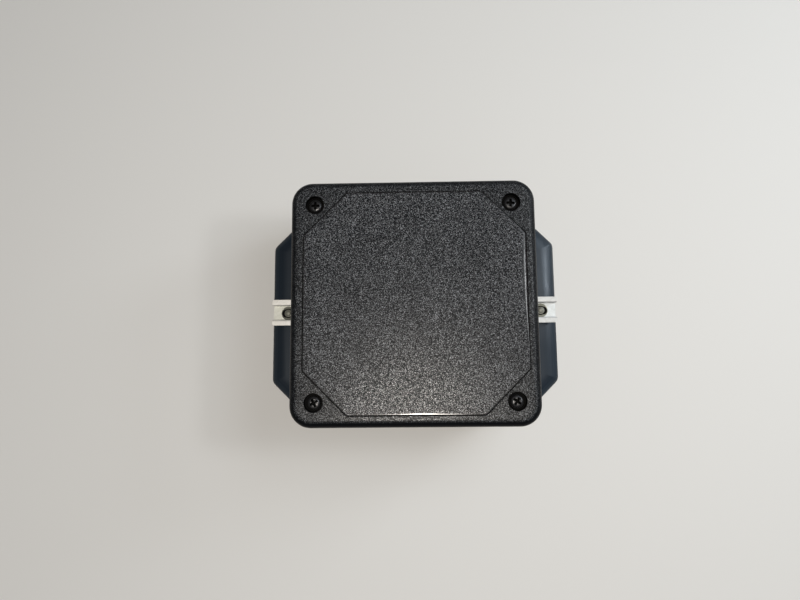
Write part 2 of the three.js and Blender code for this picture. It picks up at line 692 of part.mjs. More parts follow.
// A countersunk screw that points up, with its head flush with the foot's underside at z = 0.
function footScrew() {
  const { shank, head, sink, length } = FOOT_SCREW;
  const body = turned(
    [
      [0, -length],
      [shank * 0.6, -length],
      [shank, -length + shank * 0.5],
      [shank, -sink - SEAT],
      [head, -SEAT],
      [0, -SEAT],
    ],
    16,
  );
  return cut(body, driverRecess(FOOT_RECESS, 0)).rotate([180, 0, 0]);
}

// The latch: a slide whose nose grips the rail's other lip, with a slot in its tail for a screwdriver.
function railLatch() {
  const { half, front, bottom, top, tab, tabDrop } = LATCH;
  const slide = block([-half, half], [front, -lipEdge - PLAY], [bottom, top]);
  const nose = block([-half, half], [-lipEdge - CUT, FOOT.grip - lipEdge], [bottom, lipUnder - PLAY]);
  const tail = block([-half, half], [front - tab, front + CUT / 2], [bottom - tabDrop, top]);
  const springRoom = block(
    [-SPRING.room, SPRING.room],
    [SPRING.front - SPRING.stop - 4 * PLAY / 3, SPRING.rear + PLAY / 3],
    [bottom - CUT, top + CUT],
  );
  const slotOutline = roundedRectangle(LATCH_SLOT.length, LATCH_SLOT.width, LATCH_SLOT.width / 2 - 0.01, 3);
  const slotAt = [0, front + LATCH_SLOT.inset, 0];
  const driverSlot = prism(slotOutline, [bottom - CUT, top + CUT]).translate(slotAt);
  const waist = sides.map((side) =>
    block(
      outwards(side, half - LATCH_WAIST.depth, half + CUT),
      [front + CUT / 2, front + CUT / 2 + LATCH_WAIST.length],
      [bottom - CUT, top + CUT],
    ),
  );
  return cut(join(slide, nose, tail), springRoom, driverSlot, ...waist);
}

// A coil spring that pushes the latch towards the rail.
class Helix extends THREE.Curve {
  getPoint(t, target = new THREE.Vector3()) {
    const { front, rear, radius, wire, turns } = SPRING;
    const angle = TURN * turns * t;
    const y = THREE.MathUtils.lerp(front + wire, rear - wire, t);
    const z = (LATCH.bottom + LATCH.top) / 2;
    return target.set(radius * Math.cos(angle), y, z + radius * Math.sin(angle));
  }
}

function latchSpring() {
  const section = new THREE.Shape().absarc(0, 0, SPRING.wire, 0, TURN, false);
  const steps = SPRING.turns * 9;
  return solid(new THREE.ExtrudeGeometry(section, { steps, curveSegments: 3, extrudePath: new Helix() }));
}

// ---------------------------------------------------------------- spinning mirror and its motor
// Everything here is made about the motor's axis.

function polygonMirror() {
  const { sides: count, apothem, bottom, top, bore, boreTop } = MIRROR;
  return cut(
    prism(polygon(count, apothem), [bottom, top]),
    post(0, 0, [bottom - CUT, boreTop], bore, 28),
    post(0, 0, [boreTop - CUT, top - MIRROR_FACE.hub], ROTOR.shaft + SEAT, 16),
    post(0, 0, [top - MIRROR_FACE.depth, top + CUT], MIRROR_FACE.radius, 24),
  );
}

function rotorCup() {
  const { outer, inner, bottom, top, roof, shaft } = ROTOR;
  return cut(
    post(0, 0, [bottom, top], outer, 28),
    post(0, 0, [bottom - CUT, top - roof], inner, 28),
    post(0, 0, [bottom, top + CUT], shaft + SEAT, 16),
  );
}

const magnetRing = () => ring([MAGNET.bottom, MAGNET.top], ROTOR.inner - SEAT, MAGNET.inner);

function motorShaft() {
  const heights = [MOTOR.bottom + MOTOR.plateDepth + SEAT, MIRROR.top - MIRROR_FACE.hub - SEAT];
  return post(0, 0, heights, ROTOR.shaft, 16);
}

function encoderDisc() {
  const { outer, inner, thickness } = ENCODER;
  const { count, width } = ENCODER_SLOT;
  const [z0, z1] = [MIRROR.top + SEAT, MIRROR.top + SEAT + thickness];
  const radii = [ENCODER_SLOT.inner, ENCODER_SLOT.outer];
  const slot = block(radii, [-width / 2, width / 2], [z0 - CUT, z1 + CUT]);
  const windows = Array.from({ length: count }, (_, k) => slot.rotate([0, 0, (360 * k) / count]));
  return cut(ring([z0, z1], outer, inner, 36), ...windows);
}

function motorBase() {
  const { plate, plateDepth, bottom, tube, tubeTop } = MOTOR;
  return cut(
    join(post(0, 0, [bottom, bottom + plateDepth], plate, 28), post(0, 0, [bottom, tubeTop], tube, 24)),
    post(0, 0, [bottom + plateDepth - PLAY, tubeTop + CUT], BEARING.radius + SEAT, 24),
  );
}

function ballBearing() {
  const { radius, height, shield, shieldInner, shieldOuter } = BEARING;
  return cut(
    ring([0, height], radius, ROTOR.shaft + SEAT, 20),
    ring([height - shield, height + CUT], shieldOuter, shieldInner, 20),
  );
}

// The stator: a star of teeth, each with a wider pole at its tip.
function statorCore() {
  const { bottom, top, hub, reach } = STATOR;
  const { count, width, pole, poleDepth } = TOOTH;
  const heights = [bottom, top];
  const tooth = join(
    block([hub - CUT, reach], [-width / 2, width / 2], heights),
    block([reach - poleDepth, reach], [-pole / 2, pole / 2], heights),
  );
  const arms = Array.from({ length: count }, (_, k) => tooth.rotate([0, 0, (360 * k) / count]));
  return cut(
    join(post(0, 0, heights, hub, 28), ...arms),
    post(0, 0, [bottom - CUT, top + CUT], MOTOR.tube + SEAT, 24),
  );
}

// ---------------------------------------------------------------- optics

// The deck: a flat metal plate on the housing's floor, under the motor and the optics.
function opticsDeck() {
  const heights = [floorTop + SEAT, deckTop];
  const deck = block([-DECK.half, DECK.half], [DECK.front, DECK.rear], heights);
  const holes = sides.map((side) => {
    const [x, y] = [side * (DECK.half - 2.5 * DECK.hole), DECK.front + 2.5 * DECK.hole];
    return post(x, y, [heights[0] - CUT, heights[1] + CUT], DECK.hole);
  });
  return cut(deck, ...holes);
}

// The block that holds both lenses in line with the detector and the laser behind them.
function opticsBlock() {
  const { near, far, front, rear, top, wall, relief, base } = OPTICS;
  const bottom = deckTop + SEAT;
  const through = [near - CUT, far + CUT];
  const reliefs = [
    [front - CUT, front + relief],
    [rear - relief, rear + CUT],
  ].map((span) => block([near + wall, far - wall], span, [bottom + base, top + CUT]));
  return cut(
    block([near, far], [front, rear], [bottom, top]),
    barX(BEAM.y, BEAM.receiverZ, through, RECEIVER.bore, 28),
    barX(BEAM.y, BEAM.emitterZ, through, EMITTER.bore),
    ...reliefs,
  );
}

// A lens with two bulging faces and its axis along +X.
function lens({ bore, edge, bulge }) {
  const steps = 3;
  const radius = bore - SEAT;
  const rings = Array.from({ length: steps + 1 }, (_, k) => {
    const r = (radius * k) / steps;
    return [r, edge / 2 + bulge * (1 - (r / radius) ** 2)];
  });
  const lower = rings.map(([r, z]) => [r, -z]);
  return turned([...lower, ...rings.toReversed()], 24).rotate([0, 90, 0]);
}

// A detector or a laser in a round metal can that faces -X, with its flange on the card.
function metalCan({ can, flange, canDepth }) {
  const profile = [
    [0, 0],
    [flange, 0],
    [flange, CUT],
    [can, CUT],
    [can, canDepth],
    [0, canDepth],
  ];
  return turned(profile, 18).rotate([0, -90, 0]);
}

function transceiverBoard() {
  const { x, thickness, front, rear, bottom, top } = CARD;
  const { radius, edge } = CARD_HOLE;
  const holes = [front + edge, rear - edge].map((y) =>
    barX(y, top - edge, [x - CUT, x + thickness + CUT], radius, 12),
  );
  return cut(block([x, x + thickness], [front, rear], [bottom, top]), ...holes);
}

// The arm that reaches over the encoder disc, bent up from the deck.
function encoderBracket() {
  const { x, width, y, wall, reach, top, thickness, toe } = SENSOR_ARM;
  const bottom = deckTop + SEAT;
  return join(
    block([x, x + wall], [y, y + width], [bottom, top]),
    block([x, x + reach], [y, y + width], [top - thickness, top]),
    block([x, x + wall + toe], [y, y + width], [bottom, bottom + thickness]),
  );
}

function encoderSensor() {
  const { x, y, size, bottom, height } = SENSOR;
  return block([x, x + size], [y, y + size], [bottom, bottom + height]);
}

// ---------------------------------------------------------------- electronics

function mainBoard() {
  const heights = [BOARD.bottom, boardTop];
  const through = [BOARD.bottom - CUT, boardTop + CUT];
  const holes = boardPoints.map(([x, y]) => post(x, y, through, BOARD_HOLE, 12));
  return cut(block([-BOARD.half, BOARD.half], [BOARD.front, BOARD.rear], heights), ...holes);
}

function boardScrew() {
  const { head, headHeight, shank, length } = BOARD_SCREW;
  const body = turned(
    [
      [0, -length],
      [shank, -length],
      [shank, SEAT],
      [head, SEAT],
      [head, headHeight * 0.7],
      [head * 0.8, headHeight],
      [0, headHeight],
    ],
    16,
  );
  return cut(body, driverRecess(BOARD_RECESS, headHeight));
}

// A block-shaped component that lies on the board, with a bevelled top edge.
function component([width, depth, height]) {
  const outline = (inset) => roundedRectangle(width - 2 * inset, depth - 2 * inset, 0.4, 2);
  return loft([
    { outline: outline(0), z: SEAT },
    { outline: outline(0), z: height * 0.7 },
    { outline: outline(0.3), z: height },
  ]);
}

function capacitor() {
  const { radius, height, crimp, crimpAt } = CAPACITOR;
  return turned([
    [0, SEAT],
    [radius, SEAT],
    [radius, crimpAt],
    [radius - crimp, crimpAt + crimp],
    [radius, crimpAt + 2 * crimp],
    [radius, height - 2 * crimp],
    [radius - 2 * crimp, height],
    [0, height],
  ]);
}

// The flat cable from the main board, which arches up and forwards to the transceiver card.
function flatCable() {
  const knots = vectors([RIBBON.start, RIBBON_PULL.start, RIBBON_PULL.end, RIBBON.end]);
  const path = new THREE.CubicBezierCurve(...knots);
  const edge = (offset) =>
    Array.from({ length: RIBBON.steps + 1 }, (_, k) => {
      const point = path.getPoint(k / RIBBON.steps);
      const along = path.getTangent(k / RIBBON.steps);
      return new THREE.Vector2(point.x - along.y * offset, point.y + along.x * offset);
    });
  const half = RIBBON.thickness / 2;
  const shape = new THREE.Shape([...edge(half), ...edge(-half).reverse()]);
  const strip = new THREE.ExtrudeGeometry(shape, { depth: RIBBON.width, bevelEnabled: false });
  return solid(strip.rotateY(Math.PI / 2).rotateX(Math.PI / 2));
}

// ---------------------------------------------------------------- the assembly

const part = new THREE.Group();
const bracketGroup = new THREE.Group();
const moduleGroup = new THREE.Group();
const latchGroup = new THREE.Group();
const rotorGroup = new THREE.Group();
rotorGroup.position.set(MIRROR.x, MIRROR.y, 0);
moduleGroup.add(latchGroup, rotorGroup);
part.add(bracketGroup, moduleGroup);

function place(group, name, made, look, [x, y, z] = [0, 0, 0]) {
  const mesh = new THREE.Mesh(geometryOf(made), look);
  mesh.name = name;
  mesh.position.set(x, y, z);
  group.add(mesh);
}

place(bracketGroup, "mounting_bracket", bracket(), material.bracket);
place(bracketGroup, "mounting_rail", rail(), material.zinc);
place(bracketGroup, "rail_rivet_left", rivet(), material.rivet, [-RIVET.x, 0, 0]);
place(bracketGroup, "rail_rivet_right", rivet(), material.rivet, [RIVET.x, 0, 0]);

place(moduleGroup, "base_housing", baseHousing(), material.housingPlastic);
place(moduleGroup, "lid", lid(), material.grainedPlastic);
place(moduleGroup, "lid_gasket", lidGasket(), material.rubber);
cornerPoints.forEach(([x, y], i) => {
  const seat = LID.top - COUNTERBORE.depth + SEAT;
  const screw = lidScrew().rotate([0, 0, LID_SCREW_TURNS[i]]);
  place(moduleGroup, `lid_screw_${i + 1}`, screw, material.blackScrew, [x, y, seat]);
});
place(moduleGroup, "scan_window", scanWindow(), material.window);
place(moduleGroup, "window_seal", windowSeal(), material.rubber);

[
  ["power", -PORT.x],
  ["data", PORT.x],
].forEach(([role, x]) => {
  const wall = [x, wallFace, PORT.z];
  const inside = [x, wallFace - BASE.wall - SEAT - PORT_NUT.depth, PORT.z];
  place(moduleGroup, `${role}_port_shell`, portShell(), material.nickel, wall);
  place(moduleGroup, `${role}_port_insert`, portInsert(), material.chip, wall);
  place(moduleGroup, `${role}_port_nut`, portNut(), material.nickel, inside);
  place(moduleGroup, `${role}_port_seal`, portSeal(), material.rubber, wall);
});
place(moduleGroup, "pressure_vent", ventPlug(), material.rubber, [0, wallFace, VENT.z]);
sides.forEach((side, i) => {
  const wall = [side * LIGHT_PIPE.x, wallFace, LIGHT_PIPE.z];
  place(moduleGroup, `light_pipe_${i + 1}`, lightPipe(), material.lightPipe, wall);
});

place(moduleGroup, "rail_foot", railFoot(), material.footPlastic);
footPoints.forEach(([x, y], i) => {
  place(moduleGroup, `foot_screw_${i + 1}`, footScrew(), material.steel, [x, y, FOOT.bottom]);
});
place(moduleGroup, "latch_spring", latchSpring(), material.steel);
place(latchGroup, "rail_latch", railLatch(), material.footPlastic);

const cardFace = CARD.x - SEAT;
const lensX = OPTICS.near + OPTICS.wall * 0.75;
place(moduleGroup, "optics_deck", opticsDeck(), material.aluminium);
place(moduleGroup, "optics_block", opticsBlock(), material.aluminium);
place(moduleGroup, "receiver_lens", lens(RECEIVER), material.lens, [lensX, BEAM.y, BEAM.receiverZ]);
place(moduleGroup, "emitter_lens", lens(EMITTER), material.lens, [lensX, BEAM.y, BEAM.emitterZ]);
[
  ["receiver_detector", RECEIVER, BEAM.receiverZ],
  ["laser_diode", EMITTER, BEAM.emitterZ],
].forEach(([name, sizes, z]) => {
  place(moduleGroup, name, metalCan(sizes), material.brass, [cardFace, BEAM.y, z]);
});
place(moduleGroup, "transceiver_board", transceiverBoard(), material.board);
place(moduleGroup, "encoder_bracket", encoderBracket(), material.aluminium);
place(moduleGroup, "encoder_sensor", encoderSensor(), material.chip);

const bearingHeights = {
  lower_bearing: MOTOR.bottom + MOTOR.plateDepth,
  upper_bearing: MOTOR.tubeTop - BEARING.height - PLAY,
};
place(moduleGroup, "motor_base", motorBase(), material.aluminium, [MIRROR.x, MIRROR.y, 0]);
place(moduleGroup, "stator_core", statorCore(), material.magnet, [MIRROR.x, MIRROR.y, 0]);
Object.entries(bearingHeights).forEach(([name, z]) => {
  place(moduleGroup, name, ballBearing(), material.steel, [MIRROR.x, MIRROR.y, z]);
});

place(rotorGroup, "polygon_mirror", polygonMirror(), material.mirror);
place(rotorGroup, "rotor_cup", rotorCup(), material.steel);
place(rotorGroup, "magnet_ring", magnetRing(), material.magnet);
place(rotorGroup, "motor_shaft", motorShaft(), material.steel);
place(rotorGroup, "encoder_disc", encoderDisc(), material.brass);

place(moduleGroup, "main_board", mainBoard(), material.board);
boardPoints.forEach(([x, y], i) => {
  place(moduleGroup, `board_screw_${i + 1}`, boardScrew(), material.steel, [x, y, boardTop]);
});
[
  ["processor", PROCESSOR, material.chip],
  ["network_transformer", TRANSFORMER, material.chip],
  ["power_inductor", INDUCTOR, material.chip],
  ["cable_header", HEADER, material.cable],
].forEach(([name, { size, at }, look]) => {
  place(moduleGroup, name, component(size), look, [...at, boardTop]);
});
place(moduleGroup, "input_capacitor", capacitor(), material.aluminium, [...CAPACITOR.at, boardTop]);
place(moduleGroup, "flat_cable", flatCable(), material.cable, [RIBBON.x, 0, 0]);

export default part;
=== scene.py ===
"""Looks for the lidar scanner module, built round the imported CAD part. Metres, +Z up."""
import json
import math

import bmesh
import bpy
from mathutils import Matrix, Vector, noise


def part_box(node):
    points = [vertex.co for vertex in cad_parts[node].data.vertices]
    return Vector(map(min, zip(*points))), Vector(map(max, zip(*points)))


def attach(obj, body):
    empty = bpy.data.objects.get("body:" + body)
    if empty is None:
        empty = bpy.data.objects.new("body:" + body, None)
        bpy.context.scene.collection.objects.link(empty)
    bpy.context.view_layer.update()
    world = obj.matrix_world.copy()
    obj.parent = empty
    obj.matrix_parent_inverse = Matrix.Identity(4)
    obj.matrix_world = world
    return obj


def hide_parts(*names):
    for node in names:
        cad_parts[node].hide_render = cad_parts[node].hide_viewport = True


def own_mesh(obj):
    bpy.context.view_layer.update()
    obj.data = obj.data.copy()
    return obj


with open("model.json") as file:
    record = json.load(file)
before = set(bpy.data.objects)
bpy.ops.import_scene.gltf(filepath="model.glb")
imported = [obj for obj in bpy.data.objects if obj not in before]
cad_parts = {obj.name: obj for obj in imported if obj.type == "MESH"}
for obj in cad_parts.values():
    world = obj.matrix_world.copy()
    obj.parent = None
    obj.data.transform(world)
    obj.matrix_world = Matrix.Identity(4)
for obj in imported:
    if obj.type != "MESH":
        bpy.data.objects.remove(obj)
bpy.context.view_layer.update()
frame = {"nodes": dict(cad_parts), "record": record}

nodes = frame["nodes"]

MM = 0.001
BLACK = (0.0, 0.0, 0.0, 1.0)
WHITE = (1.0, 1.0, 1.0, 1.0)
PANEL_RISE = 0.7         # the octagonal panel's height above the rest of the lid, in millimetres


def box_mm(node):
    """A CAD node's lowest and highest corner, in millimetres."""
    low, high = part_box(node)
    return low / MM, high / MM


def middle_of(node):
    """The middle of a CAD node's box, in millimetres."""
    low, high = box_mm(node)
    return (low + high) / 2


# ---------------------------------------------------------------- camera

# The camera looks down on the lid, a little from the -Y side.
CAMERA_AT = Vector((-0.14, -38.93, 358.85)) * MM
CAMERA_TURN = (math.radians(7.45), math.radians(1.37), math.radians(-0.54))
SENSOR_MM = 36.0
FOCAL_MM = 27.05
NEAREST_SEEN = 0.01
FARTHEST_SEEN = 20.0


def make_camera():
    data = bpy.data.cameras.new("camera")
    data.sensor_width = SENSOR_MM
    data.lens = FOCAL_MM
    data.clip_start = NEAREST_SEEN
    data.clip_end = FARTHEST_SEEN
    camera = bpy.data.objects.new("camera", data)
    camera.location = CAMERA_AT
    camera.rotation_euler = CAMERA_TURN
    bpy.context.collection.objects.link(camera)
    bpy.context.scene.camera = camera


make_camera()


# ---------------------------------------------------------------- material building

# A mix node's colour sockets are found by number, because they share their names with others.
MIX_A, MIX_B, MIX_RESULT = 6, 7, 2


class Paint:
    """Builds one procedural material. Textures are laid out in the part's own frame, in metres."""

    def __init__(self, name):
        self.material = bpy.data.materials.new(name)
        self.material.use_nodes = True
        self.tree = self.material.node_tree
        self.shader = self.tree.nodes["Principled BSDF"]
        self.place = self.add("ShaderNodeTexCoord").outputs["Object"]

    def add(self, kind, inputs=None, **settings):
        """A new node, with its inputs given by name and its settings as keywords."""
        node = self.tree.nodes.new(kind)
        for key, value in settings.items():
            setattr(node, key, value)
        for key, value in (inputs or {}).items():
            self.put(node.inputs[key], value)
        return node

    def put(self, socket, value):
        """Links a socket to another node's output, or sets it to a constant."""
        if isinstance(value, bpy.types.NodeSocket):
            self.tree.links.new(value, socket)
        else:
            socket.default_value = value

    def set(self, **inputs):
        """Sets the shader's sockets. An underscore in a name stands for a space."""
        for key, value in inputs.items():
            self.put(self.shader.inputs[key.replace("_", " ")], value)

    def stretched(self, x, y, z):
        """The position, scaled along each axis, for streaks and brush marks."""
        return self.add("ShaderNodeMapping", {"Vector": self.place, "Scale": (x, y, z)}).outputs["Vector"]

    def noise(self, size_mm, detail=2.0, rough=0.5, warp=0.0, at=None):
        """Noise from 0 to 1 whose blotches are about that size."""
        return self.add(
            "ShaderNodeTexNoise",
            {
                "Vector": at or self.place,
                "Scale": 1 / (size_mm * MM),
                "Detail": detail,
                "Roughness": rough,
                "Distortion": warp,
            },
        ).outputs["Fac"]

    def streaks(self, size_mm, detail):
        """Noise whose streaks have about that size along X, Y and Z."""
        return self.noise(1.0, detail=detail, at=self.stretched(*(1 / size for size in size_mm)))

    def pebbles(self, size_mm):
        """Cells of about that size: each has a distance from its middle and its own random colour."""
        return self.add("ShaderNodeTexVoronoi", {"Vector": self.place, "Scale": 1 / (size_mm * MM)})

    def red(self, colour):
        """The red channel of a colour, as a number."""
        return self.add("ShaderNodeSeparateColor", {"Color": colour}).outputs["Red"]

    def height(self, low_mm, high_mm):
        """0 below the low height, rising to 1 above the high one."""
        return self.between(self.part(self.place, "Z"), low_mm * MM, high_mm * MM)

    def part(self, vector, axis):
        """One component of a vector."""
        return self.add("ShaderNodeSeparateXYZ", {"Vector": vector}).outputs[axis]

    def facing(self, axis, low, high):
        """0 to 1 as the surface turns to face that axis."""
        normal = self.add("ShaderNodeNewGeometry").outputs["True Normal"]
        return self.between(self.part(normal, axis), low, high)

    def round_spot(self, centre_mm, radius_mm, soft_mm):
        """1 inside an upright cylinder about that centre, and 0 outside it."""
        flat = self.stretched(1.0, 1.0, 0.0)
        middle = (centre_mm[0] * MM, centre_mm[1] * MM, 0.0)
        away = self.add("ShaderNodeVectorMath", operation="DISTANCE")
        self.put(away.inputs[0], flat)
        self.put(away.inputs[1], middle)
        return self.between(away.outputs["Value"], (radius_mm - soft_mm) * MM, radius_mm * MM, 1.0, 0.0)

    def between(self, value, low, high, start=0.0, end=1.0):
        """Maps value from low..high to start..end, and holds it there."""
        return self.add(
            "ShaderNodeMapRange",
            {"Value": value, "From Min": low, "From Max": high, "To Min": start, "To Max": end},
        ).outputs["Result"]

    def math(self, operation, a, b=0.0):
        node = self.add("ShaderNodeMath", operation=operation)
        self.put(node.inputs[0], a)
        self.put(node.inputs[1], b)
        return node.outputs["Value"]

    def blend(self, factor, a, b, mode="MIX"):
        """Goes from colour a, where the factor is 0, to colour b, where it is 1."""
        node = self.add("ShaderNodeMix", data_type="RGBA", blend_type=mode)
        self.put(node.inputs["Factor"], factor)
        self.put(node.inputs[MIX_A], a)
        self.put(node.inputs[MIX_B], b)
        return node.outputs[MIX_RESULT]

    def bump(self, height, depth_mm, strength=1.0, over=None):
        """The surface's direction with that relief on it, or on the relief given as over."""
        inputs = {"Height": height, "Distance": depth_mm * MM, "Strength": strength}
        if over:
            inputs["Normal"] = over
        return self.add("ShaderNodeBump", inputs).outputs["Normal"]


def rgb(red, green, blue):
    return (red, green, blue, 1.0)


PEBBLE = {"level": 0.1, "gone": 0.75}    # shares of a pebble's size, from its middle outwards
GLINT_RARITY = 4.0                       # a higher power leaves fewer pebbles that glint
GLINT_SHINE = 0.36                       # how much more a glint reflects than the skin round it
SKIN_SHINE = {"shaded_sides": 0.08, "wear_and_light": 0.1}
WEAR_CLOUD = 24.0                        # the size of the patches where the grain is worn more
FULL_SHADE_DEPTH = 0.4                        # painted shade is full this far below the given height,
NO_SHADE_DEPTH = 0.02                         # and gone this far below it
SHADED_SIDE_GRAIN = 0.35                        # the share of painted glints left in the painted shade on the sides that don't face -Y


def moulded(name, dark, light, grain_mm, depth_mm, roughness, shaded_below_mm=None):
    """Black plastic moulded against a spark-eroded tool: crowded pebbles, and a few of them glint.

    dark is the colour between the pebbles, and light a painted highlight: the base colour of the crowns
    that glint, which also shine more for real. Below the height given as the last argument the painted
    glints give way to
    painted shade: none are left on the side that faces -Y, and a faint share on the other three.
    """
    paint = Paint(name)
    pebble = paint.pebbles(grain_mm)
    crown = paint.between(pebble.outputs["Distance"], PEBBLE["level"], PEBBLE["gone"], 1.0, 0.0)
    glint_odds = paint.math("POWER", paint.red(pebble.outputs["Color"]), GLINT_RARITY)
    wear_and_light = paint.between(paint.noise(WEAR_CLOUD, detail=5.0), 0.35, 0.75, 0.8, 1.0)
    shine = SKIN_SHINE["wear_and_light"]
    if shaded_below_mm:
        # Painted shade: below the given height the painted glints fade, wholly on the side that faces -Y.
        lit_top = paint.height(shaded_below_mm - FULL_SHADE_DEPTH, shaded_below_mm - NO_SHADE_DEPTH)
        shaded_sides = paint.math("MULTIPLY", paint.facing("Y", -0.3, 0.1), SHADED_SIDE_GRAIN)
        wear_and_light = paint.math("MULTIPLY", wear_and_light, paint.math("MAXIMUM", lit_top, shaded_sides))
        shine = paint.between(lit_top, 0.0, 1.0, SKIN_SHINE["shaded_sides"], SKIN_SHINE["wear_and_light"])
    shown = paint.math("MULTIPLY", paint.math("MULTIPLY", crown, glint_odds), wear_and_light)
    glint = paint.between(shown, 0.0, 0.4, 0.0, GLINT_SHINE)
    paint.set(
        # painted highlights: the crowns that glint are painted lighter in the base colour
        Base_Color=paint.blend(shown, dark, light),
        Roughness=paint.between(shown, 0.0, 0.5, roughness + 0.12, roughness - 0.1),
        Specular_IOR_Level=paint.math("ADD", shine, glint),
        Normal=paint.bump(crown, depth_mm),
    )
    return paint.material


def lid_border():
    """The lid outside its panel, with painted glints on its top and painted shade on its rounded sides,
    darkest on the side that faces -Y.
    """
    top = box_mm("lid")[1].z - PANEL_RISE
    return moulded(
        "border_grain",
        dark=rgb(0.0035, 0.004, 0.005),
        light=rgb(0.43, 0.45, 0.48),
        grain_mm=0.30,
        depth_mm=0.012,
        roughness=0.26,
        shaded_below_mm=top,
    )


def lid_panel():
    """The lid's panel: the same plastic with brighter painted glints."""
    return moulded(
        "panel_grain",
        dark=rgb(0.004, 0.0045, 0.006),
        light=rgb(0.67, 0.695, 0.74),
        grain_mm=0.30,
        depth_mm=0.012,
        roughness=0.24,
    )


def housing_grain():
    """The housing below the lid: a coarser and duller grain on the same plastic."""
    return moulded(
        "housing_grain",
        dark=rgb(0.0085, 0.009, 0.0105),
        light=rgb(0.11, 0.114, 0.122),
        grain_mm=0.36,
        depth_mm=0.03,
        roughness=0.44,
    )


DRAG_LINE = (0.5, 0.5, 6.0)


def recess_shade():
    """Painted shade for recesses, the screw wells' walls, the groove round the panel and the screws'
    crosses: smooth dark plastic painted near black, with faint drag lines from the core pin.
    """
    paint = Paint("painted_recess_shade")
    drag = paint.streaks(DRAG_LINE, detail=3.0)
    paint.set(
        Base_Color=paint.blend(drag, rgb(0.001, 0.001, 0.001), rgb(0.003, 0.003, 0.003)),
        Roughness=paint.between(drag, 0.3, 0.7, 0.6, 0.72),
        Normal=paint.bump(drag, 0.02),
        Specular_IOR_Level=0.06,
    )
    return paint.material


def polished_bead():
    """The rounded step round the panel, where the tool was hand polished: smooth, with slow ripples."""
    paint = Paint("polished_bead")
    ripple = paint.noise(3.5, detail=2.0, warp=0.5)
    scuff = paint.between(paint.noise(0.7, detail=3.0), 0.5, 0.7)
    paint.set(
        Base_Color=paint.blend(scuff, rgb(0.018, 0.018, 0.019), rgb(0.05, 0.05, 0.052)),
        Roughness=paint.between(scuff, 0.0, 1.0, 0.2, 0.36),
        Normal=paint.bump(ripple, 0.05, strength=0.5),
    )
    return paint.material


ROLLED_STREAK = (40.0, 0.25, 0.25)


def plated(name, tint, dull, roughness):
    """Rolled or plated metal, with streaks along X, a cloudy bloom and fine pits."""
    paint = Paint(name)
    streaks = paint.streaks(ROLLED_STREAK, detail=4.0)
    bloom = paint.noise(5.0, detail=5.0, rough=0.6, warp=0.4)
    pits = paint.between(paint.noise(0.5, detail=3.0), 0.62, 0.72)
    relief = paint.math("SUBTRACT", paint.math("MULTIPLY", streaks, 0.6), pits)
    paint.set(
        Base_Color=paint.blend(paint.between(bloom, 0.35, 0.7), tint, dull),
        Metallic=1.0,
        Roughness=paint.between(bloom, 0.3, 0.75, roughness - 0.06, roughness + 0.14),
        Normal=paint.bump(relief, 0.02, strength=0.7),
    )
    return paint.material


RIVET_RING_RADIUS = 4.1       # the channel is darker and olive this far round each rivet
CROWN_RADIUS = 2.15      # a rivet's crown, inside its shoulder
SPOT_SOFTNESS = 0.15
CHANNEL_HEIGHT = 2.5     # the channel's look starts to give way this far above the rail's underside
LIP_THICKNESS = 1.0      # and the lips' look is full from this far below the rail's top
ZINC_FADE = 60.0 * MM    # the zinc's colour changes from this far on one side to as far on the other
TOOTH = (0.03, 0.0002, 0.0002)    # too fine to be seen: it only spreads the zinc's shine


def rivet_spots(paint, radius_mm):
    """1 within that distance of the middle of either rail rivet."""
    spots = []
    for rivet in ("rail_rivet_left", "rail_rivet_right"):
        spots.append(paint.round_spot(middle_of(rivet), radius_mm, SPOT_SOFTNESS))
    return paint.math("MAXIMUM", *spots)


def zinc_plate():
    """The rail's zinc: lips paler than the channel, whose darker colour is painted shade, a shinier
    channel, and darker olive rings round the rivets.

    Along X the colour carries painted light and shade: the -X end has paler lips, a warmer channel
    and darker rings, and the +X end has darker lips and a bluer channel.
    """
    paint = Paint("zinc_plate")
    low, high = box_mm("mounting_rail")
    bloom = paint.noise(3.0, detail=5.0, rough=0.65, warp=0.6)
    tooth = paint.streaks(TOOTH, detail=4.0)
    cloudy = paint.between(bloom, 0.35, 0.68)
    # painted light and shade along X: paler lips and a warmer channel at -X, darker lips and a bluer
    # channel at +X
    painted_shade_along_x = paint.between(paint.part(paint.place, "X"), -ZINC_FADE, ZINC_FADE)
    channel = paint.blend(painted_shade_along_x, rgb(0.68, 0.69, 0.635), rgb(0.61, 0.64, 0.655))
    lips = paint.blend(painted_shade_along_x, rgb(0.93, 0.92, 0.895), rgb(0.61, 0.62, 0.625))
    # darker olive rings round the rivets, darker at the -X end
    rivet_rings = paint.blend(painted_shade_along_x, rgb(0.085, 0.085, 0.068), rgb(0.15, 0.155, 0.125))
    # painted shade: at the -X end the channel is painted darker than the lips
    raised = paint.height(low.z + CHANNEL_HEIGHT, high.z - LIP_THICKNESS)
    shade = paint.blend(cloudy, WHITE, rgb(0.82, 0.82, 0.80))
    zinc = paint.blend(1.0, paint.blend(raised, channel, lips), shade, mode="MULTIPLY")
    paint.set(
        Base_Color=paint.blend(rivet_spots(paint, RIVET_RING_RADIUS), zinc, rivet_rings),
        Metallic=paint.between(raised, 0.0, 1.0, 0.35, 0.15),
        Roughness=paint.between(bloom, 0.3, 0.75, 0.36, 0.54),
        Normal=paint.bump(paint.math("ADD", bloom, paint.math("MULTIPLY", tooth, 0.3)), 0.05),
    )
    return paint.material


